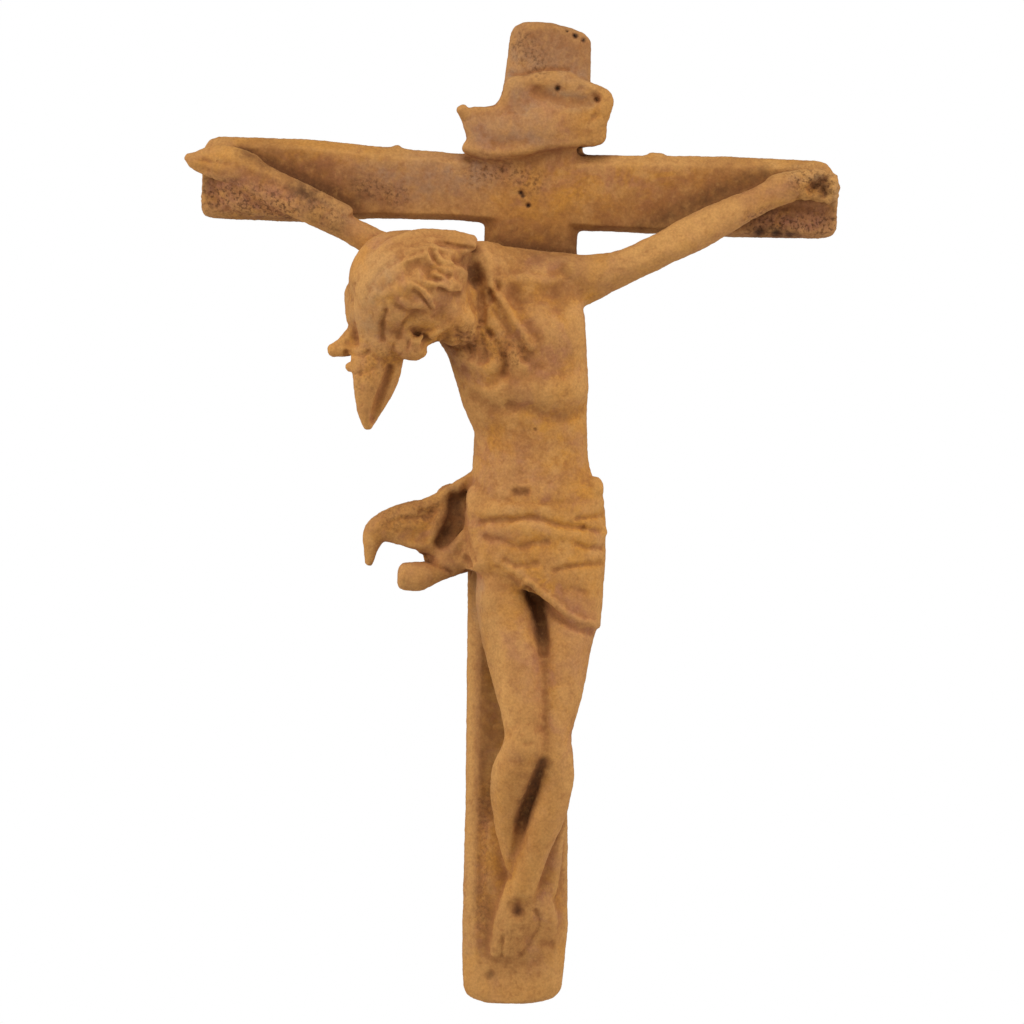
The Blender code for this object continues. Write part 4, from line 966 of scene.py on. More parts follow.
def add_loose_ends():
    """The two loose ends at the left: a broad one hooked down at its tip, and the stub of the knot."""
    broad = [
        (-16, 3.5, -105, 11, 3), (-22, 2.6, -107.4, 13.2, 2.4), (-30, 4.4, -110.9, 9.8, 3),
        (-38, 6.6, -110.7, 8, 3.4), (-46, 7, -111.3, 5.6, 3.4), (-51, 6.5, -114.2, 4.2, 3),
        (-52.2, 5.8, -119.4, 2.5, 2.4), (-52.7, 5.6, -125.2, 1.2, 1.4),
    ]
    body_limb("loose end", broad, sides=40, rings=60)
    mass("hollow's floor", (-26, 2.5, -108), (6.5, 5.4, 10))
    folds = [
        [
            (-18, 5, -93.6, 2.2), (-25.2, 7, -98.8, 2.4), (-32, 7.8, -103.4, 2.6),
            (-41.2, 8.6, -107.4, 2.6), (-48, 8.4, -110.2, 2.4), (-51.8, 7.6, -114, 2),
        ],
        [
            (-27.6, 6.2, -101.4, 1.8), (-30, 8.6, -107.6, 2.2), (-32.4, 8.6, -113.4, 2.2),
            (-33.2, 7.6, -117.2, 1.6),
        ],
        [(-31.5, 7.8, -111, 1.6), (-38.5, 9.2, -111, 1.7), (-44, 9.2, -111.8, 1.6), (-49.4, 8, -113.8, 1.4)],
        [(-31, 7, -117.6, 2.2), (-37, 7.4, -117.2, 2.1), (-42, 7.2, -116.4, 1.7), (-46.6, 6.6, -116, 1.1)],
        [(-22, 7, -117.8, 2.4), (-28, 7, -119.2, 2), (-33.6, 6.4, -119.4, 1.6), (-37, 6, -119.6, 1)],
    ]
    for fold in folds:
        body_limb("loose fold", fold)
    knot = [
        (-16, 6, -119, 5.4, 4), (-24, 6, -122, 4.8, 3.4), (-31, 7, -125.8, 3.9, 3.8),
        (-37, 8, -127.8, 4.9, 4.2), (-43.4, 8.6, -127.7, 4.3, 4),
    ]
    body_limb("knot", knot, sides=32, rings=40, roundness=0.55)
    strands = [
        [
            (-20.4, 10, -112.4, 2.2, 2), (-23.6, 9, -116.4, 2.2, 2), (-26.6, 7.6, -120.2, 2, 1.8),
            (-30.4, 7.6, -123.8, 1.6, 1.6),
        ],
        [(-19.4, 10.4, -117.6, 2, 1.8), (-21.8, 9, -121.4, 1.8, 1.8), (-24.6, 7.6, -124.2, 1.4, 1.4)],
    ]
    for strand in strands:
        body_limb("knot strand", strand)
    body_limb("web of the loose end", [
        (-28, 4.6, -121, 3.4, 2.6), (-33, 4.2, -120.6, 3, 2.2), (-35.2, 4, -120.4, 2.6, 1.8),
    ])
    mass("hollow's upper end", (-21.6, 3, -99.4), (3.4, 2.4, 4.2))


def nearest_along(flat, line):
    """The distance of flat points from a line of joined stretches."""
    best = np.full(len(flat), 1e9)
    for first, second in zip(line, line[1:]):
        along = second - first
        share = np.clip(((flat - first) @ along) / max(along @ along, 1e-18), 0, 1)
        best = np.minimum(best, np.linalg.norm(flat - (first + share[:, None] * along), axis=1))
    return best


def stroke_weight(flat, line, width):
    """How strongly a line of the given half width touches flat points, 1 on the line and 0 past its width."""
    curve = smooth_values(line, np.linspace(0, 1, 5 * len(line))) * MM
    reach = width * MM
    near = np.all((flat > curve.min(axis=0) - reach) & (flat < curve.max(axis=0) + reach), axis=1)
    weight = np.zeros(len(flat))
    if near.any():
        gap = nearest_along(flat[near], curve) / reach
        weight[near] = np.where(gap < 1, (1 - gap ** 2) ** 2, 0)
    return weight


def press(piece, flat, facing, strokes):
    """Move the skin in along its normals by the strokes' depths, as far as it faces them."""
    spots = read_spots(piece)
    normals = read_normals(piece)
    for line, width, depth in strokes:
        spots -= normals * (stroke_weight(flat, line, width) * facing * depth * MM)[:, None]
    write_spots(piece, spots)


def carve(piece, strokes):
    """Press grooves and raise ridges along lines seen from the front: points, half width and depth."""
    spots = read_spots(piece)
    facing = np.clip(-read_normals(piece)[:, 1] * CARVE_GAIN, 0, 1)
    facing[spots[:, 1] > front() * CARVE_DEEPEST] = 0
    press(piece, spots[:, [0, 2]].copy(), facing, strokes)


def carve_head(piece, strokes):
    """The same on the face: points to the side and up on the head."""
    axes = np.array(head_axes())
    local = (read_spots(piece) - on_head(0, 0, 0)) @ axes.T / (HEAD_SIZE * MM)
    facing = np.clip((read_normals(piece) @ axes[1]) * FACE_GAIN, 0, 1)
    outside = (np.abs(local[:, 0]) > FACE_HALF_WIDTH) | (np.abs(local[:, 2]) > FACE_HALF_HEIGHT)
    facing[(local[:, 1] < FACE_START) | outside] = 0
    press(piece, local[:, [0, 2]] * MM, facing, strokes)


def strokes_of_face():
    """Lids, nostrils, mouth and beard."""
    strokes = [
        ([(-1.8, -10.1), (0, -10.3), (1.8, -10.1)], 0.55, 0.5),
        ([(0, -5.6), (0, -7.6)], 0.7, 0.25),
    ]
    for side in (-1, 1):
        strokes.append(([(side * 2.2, -0.4), (side * 4.0, -1.2), (side * 5.8, -0.5)], 0.5, 0.35))
        strokes.append(([(side * 2.2, 1.9), (side * 4.0, 2.1), (side * 5.9, 1.4)], 0.6, 0.35))
        strokes.append(([(side * 1.9, -4.4), (side * 2.3, -5.6)], 0.6, 0.4))
        strokes.append(([(side * 2.8, -6.0), (side * 4.6, -8.2)], 0.9, 0.35))
        strokes.append(([(side * 7.6, -6.5), (side * 6.4, -10.0)], 2.2, 0.5))
        for lock in (1.0, 2.8, 4.6):
            strokes.append(([
                (side * lock, -14.0), (side * lock * 0.9, -18), (side * lock * 0.7, -22),
            ], 0.55, 0.5))
    return strokes


def fillet(piece, rounds, keep):
    """Fill the seams between the masses softly, and wear the ridges down by the rest of the share kept."""
    spots = read_spots(piece)
    normals = read_normals(piece)
    soft = blurred(spots, neighbours(piece), rounds)
    lift = ((soft - spots) * normals).sum(axis=1)
    lift = np.where(lift > 0, lift, lift * (1 - keep))
    write_spots(piece, spots + normals * lift[:, None])


def strokes_of_figure():
    """The carving of the figure: points across and up, half width and depth."""
    return [
        # swells of the chest, the ribs, the belly and the thighs
        ([(0, -44), (8, -46), (12, -44)], 11, -1.5),
        ([(-24, -44), (-16, -46)], 10, -1),
        ([(-4, -64), (4, -66.4), (12, -64.6)], 7.5, -1.5),
        ([(-20, -64), (-14, -66.5)], 6.5, -0.9),
        ([(-3, -82), (-2, -90)], 13, -0.8),
        ([(-1, -103), (2, -103.6)], 9, -0.7),
        # the hollow under the collarbone, the breastbone and the arch of the ribs
        ([(-12, -30.4), (-6, -30), (0, -30.2), (6, -29.4)], 2.6, -0.9),
        ([(-8.4, -35.4), (-5.4, -37.6), (-1.8, -36.2), (3.4, -34.2)], 4.4, 1.5),
        ([(5.4, -27), (6.6, -33), (6.4, -39)], 5, 1.2),
        ([(-4.6, -46), (-4.8, -54), (-4.4, -60)], 4, 0.5),
        ([(-8, -71.6), (-2.1, -72.2), (3.2, -74), (7.8, -74.8), (12.6, -73.8), (16.6, -71)], 3.4, 1),
        ([(-8, -71.6), (-13, -72.6), (-19, -69.6), (-23.6, -65)], 3.6, 0.7),
        ([(8, -60.5), (12.6, -58.6), (16.4, -55)], 2.4, 0.35),
        ([(8, -67), (12.6, -65), (16.4, -61)], 2, 0.25),
        # the line of the belly and the navel
        ([(-3.2, -76), (-3.4, -84), (-3.4, -94)], 4.4, 0.35),
        ([(-5.6, -99.2), (-3.7, -99.5), (-2.2, -99)], 2.2, 1.3),
        ([(-12, -95.6), (-4, -94), (4, -94.8)], 4, 0.3),
        # the folds of the loincloth
        ([(-22.4, -98.2), (-19.7, -97), (-16.9, -98.8), (-12, -101.6), (-4, -102.8)], 2.4, 0.5),
        ([(-1, -102.8), (4.4, -101.8), (9.4, -102.6), (15, -100.6)], 2.4, 0.4),
        ([
            (-16.5, -109.2), (-11.7, -108.6), (-7.3, -108.3), (-1.9, -107.4), (3.5, -108), (9, -109.4),
            (16.6, -110),
        ], 1.7, 1),
        ([(14.6, -107.2), (18, -106.8), (23.1, -105.8)], 1.5, 0.9),
        ([(16.6, -110), (20.4, -110.8), (24, -111)], 1.2, 0.7),
        ([(-14.8, -114.4), (-9.8, -115.2), (-6.5, -116.4), (-3.2, -117), (0.5, -116), (4.9, -115.2)], 2, 0.9),
        ([(15, -115.6), (19, -116.6), (24.4, -116.2)], 1.5, 0.8),
        ([(-8.5, -121.6), (-5.2, -122.8), (-1.4, -123), (1.9, -122.2)], 1.8, 0.8),
        ([(7.9, -124.2), (12.8, -122.9), (17.6, -122.1), (23.6, -121.3)], 1.6, 1),
        ([(10.9, -130.6), (14.1, -130.2), (17.4, -130.8)], 2.2, 0.5),
        ([
            (-0.6, -128.2), (3.3, -131.3), (6.7, -133.6), (11.2, -137.2), (16.1, -140), (21, -141.2),
        ], 1.7, -0.9),
        ([(0.8, -131.8), (5.2, -136), (10.4, -140.2), (15.6, -143), (20.6, -144.2)], 1.8, 0.9),
        ([(-14.3, -121.8), (-8.4, -125.6), (-3.8, -129.2)], 1.6, 0.4),
        ([(-22.6, -108.6), (-22.2, -113.2), (-20.2, -117.6), (-18.2, -122.2)], 1.5, 0.5),
        # the gap between the thighs and the hollow between the shins
        ([(-0.6, -131), (2.4, -136.6), (4.4, -143), (5.2, -151)], 2.4, 1),
        ([(5.2, -152), (5.8, -160), (6.2, -170), (6, -176)], 1.8, 0.5),
        ([(6.4, -186.6), (4.6, -190.4), (2.6, -196.5), (0.6, -203), (-0.8, -209)], 2.4, 1),
        ([(-1.2, -210), (-2.4, -217), (-3.4, -224)], 1.8, 0.5),
        # knees
        ([(-5.4, -177.6), (-3.4, -174.6), (0.6, -173.8), (4.2, -175.4)], 2.4, 0.35),
        ([(-4.2, -186.6), (-0.6, -187.6), (3.2, -185.6)], 2.4, 0.4),
        ([(0.2, -181), (1.8, -180.8)], 1.8, 0.5),
        # the foot's sinews, its toes and the nail hole
        ([(-2.8, -229), (-4.4, -236), (-5.6, -242)], 1.2, 0.25),
        ([(3.4, -228), (2.6, -236), (1, -242)], 1.2, 0.25),
        ([(-4.7, -244.2), (-4.9, -250.2)], 1.3, 0.7),
        ([(-2.4, -244.8), (-2.3, -249.8)], 0.9, 0.3),
        ([(-0.2, -244.6), (0.1, -249.2)], 0.9, 0.3),
        ([(-0.4, -234.6), (-0.2, -235.6)], 4.4, 2.4),
        ([(5.4, -235.4), (7, -239.8), (4.4, -245.2), (1.2, -249.8)], 1.5, 0.7),
        ([(4.6, -247.6), (8.2, -245.9), (11, -246.2)], 2.2, 0.5),
        # the dark hollow beside the hip and the pits under the knot
        ([(-26, -101.4), (-25, -107.1), (-26.4, -112.4), (-29.6, -116.8)], 2.8, 1.2),
        ([(-21.4, -121.2), (-20.2, -123.6), (-20.6, -126.6)], 1.6, 1.4),
        ([(-37, -121.2), (-32.6, -122.2), (-28.6, -124.6), (-26, -126)], 1.6, 1.3),
        ([(-36.2, -106.3), (-36.6, -106.7)], 1.2, 0.8),
        ([(-35, -108.6), (-41, -108.8), (-47, -110.4)], 1.2, 0.4),
        # hands
        ([(87.4, 3), (90.4, 4.2), (91, 1.8)], 3.3, 3),
        ([(33, -19.5), (44, -13.5), (52, -9)], 4, 0.8),
        ([(71.4, -4.8), (75.4, -3.6), (80.3, -3.1), (86.5, -3.6)], 1.6, 0.5),
        ([(-103, 4.2), (-108, 4.8), (-112, 5.2), (-116.4, 6)], 1.1, 0.35),
        ([(-104, 0.8), (-109, 1.6), (-113.4, 3)], 1.1, 0.35),
        ([(-108, -0.4), (-100, -1.2), (-92, -3.4), (-84, -6.6)], 1.4, 0.3),
    ]


def strokes_of_hair():
    """The carving of the hair and of the locks on the chest."""
    return [
        ([(-37.6, -22.4), (-36.4, -25.4), (-34.6, -27), (-32.6, -27.6)], 1.1, -0.8),
        ([(-35.2, -21.2), (-33.6, -24), (-31.6, -25.6), (-28.4, -25.8)], 1.1, -0.8),
        ([(-35, -29.2), (-33.2, -30.4), (-30.8, -30.6)], 1, -0.7),
        ([(-34.6, -33), (-31.6, -33), (-29.4, -34.8), (-26.4, -34.4)], 1.1, -0.7),
        ([(-42.2, -33), (-38.6, -34.6), (-36.4, -37.4), (-34.8, -40.4)], 1.2, -0.7),
        ([(-44, -19.8), (-36, -18.4), (-28, -19), (-22.4, -19.6)], 1.4, -0.5),
        ([(-44, -23), (-38, -21.4), (-31, -22), (-25, -23.4)], 1.2, -0.6),
        ([(-36.4, -21.6), (-34.9, -24.8), (-33.2, -26.6)], 1.3, 0.9),
        ([(-34.4, -27.4), (-33.4, -28.2), (-31.8, -29.4)], 1.1, 0.9),
        ([(-42.8, -28.4), (-39.8, -27), (-36.8, -28.6)], 3, 1.3),
        ([(-36.4, -30.6), (-33, -31.2), (-29.6, -30)], 1.3, 0.8),
        ([(-32.9, -34.4), (-30, -35.6), (-26.6, -35.6)], 1.2, 0.8),
        ([(-40.8, -35.4), (-37.8, -37.8), (-35.3, -41)], 1.4, 0.9),
        ([(-46.4, -40.4), (-42.8, -42.2), (-38.4, -42.2), (-35.2, -43.2)], 1.5, 0.7),
        ([(-49.8, -42.4), (-50.8, -46.6), (-50.8, -51)], 1.9, 1.2),
        ([(-60.9, -33.6), (-61.4, -39), (-61, -45), (-59.9, -50.8)], 1.2, 0.8),
        ([(-60.8, -46.8), (-59.4, -52.6)], 1.7, 1),
        ([(-26.6, -24.2), (-24, -25), (-21.8, -27.4), (-21, -31)], 3.4, 3),
        ([(-20.2, -32.4), (-19.1, -37.6), (-18.6, -44)], 1.8, 1.3),
        ([(-14.6, -31), (-13.8, -33.6)], 1.1, 0.6),
        ([(-16.6, -34.2), (-15.6, -36.8), (-17.2, -38.8)], 1.2, 0.9),
        ([(-14.2, -35.6), (-10.6, -40.4), (-7.6, -44.6), (-4.7, -48.4), (-2.7, -51.6)], 2.2, -1.7),
        ([(-9.6, -36.6), (-6, -41), (-3.2, -45), (-0.6, -49.4)], 2.4, 0.4),
        ([(-15.4, -40.2), (-12.2, -44.4), (-9.4, -48.4)], 1.5, 0.7),
        ([(-28, -52.6), (-24.1, -55.4), (-20.1, -58.6), (-16.1, -59.2), (-13.4, -57.4)], 3, -1.3),
        ([(-29, -56.8), (-24.5, -60.2), (-20.1, -64), (-15.6, -64.4), (-12, -62)], 2.8, 0.7),
        ([(-8.2, -54), (-6.8, -57.4), (-4.4, -58.6)], 2.6, -1.4),
        ([(-9.4, -62), (-6.8, -63.4), (-3, -62.2), (-0.2, -58.6)], 2.4, 0.6),
        ([(-22.4, -47), (-23, -51), (-21, -56.4)], 1.3, 0.6),
        ([(-19.4, -46.6), (-18, -51.6), (-16.8, -57)], 1.3, 0.6),
        ([(-18.6, -45), (-15.2, -49.8), (-12.2, -54)], 1.5, 0.7),
        ([(-16.2, -48.1), (-15.6, -48.7)], 1.9, 1),
        ([(-11, -55.6), (-10.8, -60.8)], 2.3, 1.5),
        ([(-26.4, -47.4), (-25.6, -51), (-26.8, -54.4)], 1.8, 0.7),
        ([(-23.4, -52.4), (-22.4, -56)], 1.6, 0.5),
        ([(-48, -60.6), (-49.6, -66), (-51.6, -72.2), (-52.6, -77.6)], 1.9, 1.3),
        ([(-57.8, -60), (-57.4, -66), (-56.6, -73)], 1.2, 0.3),
        ([(-62.4, -55.9), (-58.2, -56.8), (-55.4, -55.8)], 1.3, 0.9),
        ([(-59.8, -62.8), (-56.6, -62.6), (-53.4, -60.8)], 1.2, 0.6),
        ([(-66.4, -53.6), (-62.6, -53.2), (-60.2, -51.2)], 1.1, 0.35),
        ([(-22.4, -21), (-28, -20.4), (-35, -19.8), (-42, -20.4)], 1.1, 0.5),
        ([(-42, -23.4), (-48, -26.4), (-54, -32), (-56, -38)], 1.6, 0.35),
        ([(-40, -42.4), (-44, -46), (-45.6, -50.4)], 1.4, 0.5),
        ([(-38, -48.4), (-41.6, -50.6), (-42.6, -54.4)], 1.2, 0.5),
        ([(-55.6, -52.6), (-53.6, -56.6), (-49.4, -58.4)], 1.3, 0.4),
        ([(-43, -29.6), (-48, -32.6), (-53, -38)], 1.6, 0.30),
    ]


def strokes_of_scroll():
    """The creases of the scroll, its pits and the hollow under its right end."""
    return [
        ([(-11.9, 37.1), (-6.5, 37.8), (-2.7, 38.8), (1.6, 39.4), (6.5, 39.4)], 1.1, 0.7),
        ([(-3.6, 31.2), (0.3, 30), (4.7, 29), (10.2, 28.7), (15.5, 29.9)], 3.2, 0.9),
        ([(10.6, 33.4), (13.6, 32.6), (16, 30.6)], 1.8, 0.6),
        ([(-16.4, 23.6), (-11.5, 24.3), (-7.7, 24.7)], 1.2, 0.25),
        ([(-16, 20), (-6, 21), (2, 22)], 6, -0.4),
        ([(11.9, 12.9), (13, 12.9)], 1.8, 3),
        ([(18.6, 24), (16.8, 24.4), (15.4, 23.8)], 1.5, 0.5),
        ([(-26.6, 21.2), (-25, 22.4), (-24.4, 24.6)], 1.2, 0.3),
    ]


# Patches of coarse rust: line seen from the front, half width and strength
SPECKLES = [
    ([(-109, -6), (-96, -7), (-84, -9)], 8, 1),
    ([(-76, -7), (-68, -13)], 6, 0.8),
    ([(70, -9), (82, -9), (94, -8)], 7, 1),
    ([(-22, 4), (-12, 5), (-4, 2)], 6, 0.7),
    ([(-9, 47), (-4, 40)], 7, 0.7),
    ([(-59, -1), (-47, -4)], 5, 0.8),
    ([(-12, -196), (-12, -240)], 4, 0.5),
    ([(-48, -110), (-30, -106)], 7, 0.5),
    ([(-50, -56), (-56, -66)], 8, 0.4),
    ([(84, 6), (92, 4)], 7, 0.9),
    ([(-26, -50), (-16, -52), (-8, -54)], 8, 0.6),
]


# Casting pits: across, up, half width and depth
PITS = [
    (5.6, 51.7, 0.55, 0.7), (8.4, 50.3, 0.95, 1.5), (11.1, 49, 0.8, 1.3), (3.2, 32.7, 0.95, 1.2),
    (16.1, 29.6, 0.75, 1.1), (-7.6, -1.6, 0.8, 1), (-6.9, -2.6, 0.7, 0.9), (-5, -5.6, 0.8, 1),
    (-19.4, 5.6, 0.9, 0.4), (-14, 5.8, 0.8, 0.4), (70.6, -11.8, 1.2, 0.6), (75.6, -11.6, 1.4, 0.7),
    (80.2, -12.2, 1.1, 0.6), (-0.2, -78.6, 0.5, 0.5), (-8.4, -256.8, 1.8, 0.4),
]


def pit_line(across, up):
    """A pit's place, as a line short enough to press a round hole."""
    return [(across - PIT_HALF_LINE, up), (across + PIT_HALF_LINE, up)]


def press_pits(piece):
    """Press the casting pits in."""
    carve(piece, [(pit_line(across, up), width * PIT_MOUTH, depth) for across, up, width, depth in PITS])


def speckle(flat):
    """How coarse the rust is at points of the front view."""
    strength = np.zeros(len(flat))
    for line, width, share in SPECKLES:
        strength = np.maximum(strength, stroke_weight(flat, line, width * SPECKLE_SPREAD) * share)
    return strength


def roughen(piece):
    """Raise and sink the skin by the lumps of the rust, more so on the worn right hand."""
    spots = read_spots(piece)
    speckled = speckle(spots[:, [0, 2]].copy())
    lift = np.empty(len(spots))
    for index, spot in enumerate(spots):
        where = Vector(spot) / MM
        broad = noise.noise(where * BROAD_LUMPS[0])
        lumps = noise.noise(where * ROUND_LUMPS[0])
        grains = noise.noise(where * FINE_LUMPS[0])
        lift[index] = broad * BROAD_LUMPS[1] + lumps * ROUND_LUMPS[1] + grains * FINE_LUMPS[1]
        if spot[0] > HAND_START and spot[1] < front() - HAND_STAND:
            lift[index] += HAND_LUMPS * lumps
        if speckled[index] > SPECKLE_LEAST:
            coarse = noise.noise(where * SPECKLE_LUMPS[0]) * SPECKLE_LUMPS[1]
            lift[index] += speckled[index] * (coarse + grains)
    write_spots(piece, spots + read_normals(piece) * (lift * look().relief)[:, None])


def flatten_back(piece):
    """Cut the casting off flat at its back, where it meets what it hangs on."""
    make_active(piece)
    bpy.ops.object.mode_set(mode="EDIT")
    bpy.ops.mesh.select_all(action="SELECT")
    bpy.ops.mesh.bisect(plane_co=(0, 0, 0), plane_no=(0, 1, 0), use_fill=True, clear_outer=True)
    bpy.ops.object.mode_set(mode="OBJECT")


def neighbours(piece):
    """The ends of the edges, and how many neighbours each corner has."""
    ends = np.empty(len(piece.data.edges) * 2, dtype=int)
    piece.data.edges.foreach_get("vertices", ends)
    ends = ends.reshape(-1, 2)
    count = np.bincount(ends.ravel(), minlength=len(piece.data.vertices))
    return ends, np.maximum(count, 1)


def neighbour_mean(values, ends, count):
    """The mean of each corner's neighbours."""
    columns = []
    for column in range(values.shape[1]):
        total = np.bincount(ends[:, 0], values[ends[:, 1], column], len(values))
        total += np.bincount(ends[:, 1], values[ends[:, 0], column], len(values))
        columns.append(total / count)
    return np.stack(columns, axis=1)


def store(piece, name, values):
    """Keep a number for each corner under a name that the material reads."""
    layer = piece.data.attributes.new(name=name, type="FLOAT", domain="POINT")
    layer.data.foreach_set("value", np.ascontiguousarray(values, dtype=np.float32))


def blurred(values, links, rounds):
    """The corners' values, evened out with the means of their neighbours in a number of rounds."""
    for _ in range(rounds):
        values = (values + neighbour_mean(values, *links)) / 2
    return values


def sky_share_for_painted_shade(piece):
    """How open each corner is, for the painted shade of the hollows: the share of directions with nothing
    within reach.
    """
    mesh = bmesh.new()
    mesh.from_mesh(piece.data)
    tree = BVHTree.FromBMesh(mesh)
    mesh.free()
    rng = np.random.default_rng(SKY_SEED)
    ways = rng.normal(size=(SKY_RAYS, 3))
    ways /= np.linalg.norm(ways, axis=1)[:, None]
    spots = read_spots(piece)
    normals = read_normals(piece)
    open_share = np.empty(len(spots))
    for index in range(len(spots)):
        normal = normals[index]
        start = Vector(spots[index] + normal * SKY_LIFT)
        free = 0.0
        total = 0.0
        for way in ways:
            lean = way @ normal
            weight = abs(lean)
            towards = Vector(way if lean > 0 else -way)
            total += weight
            if tree.ray_cast(start, towards, SKY_REACH)[0] is None:
                free += weight
        open_share[index] = free / total
    return open_share


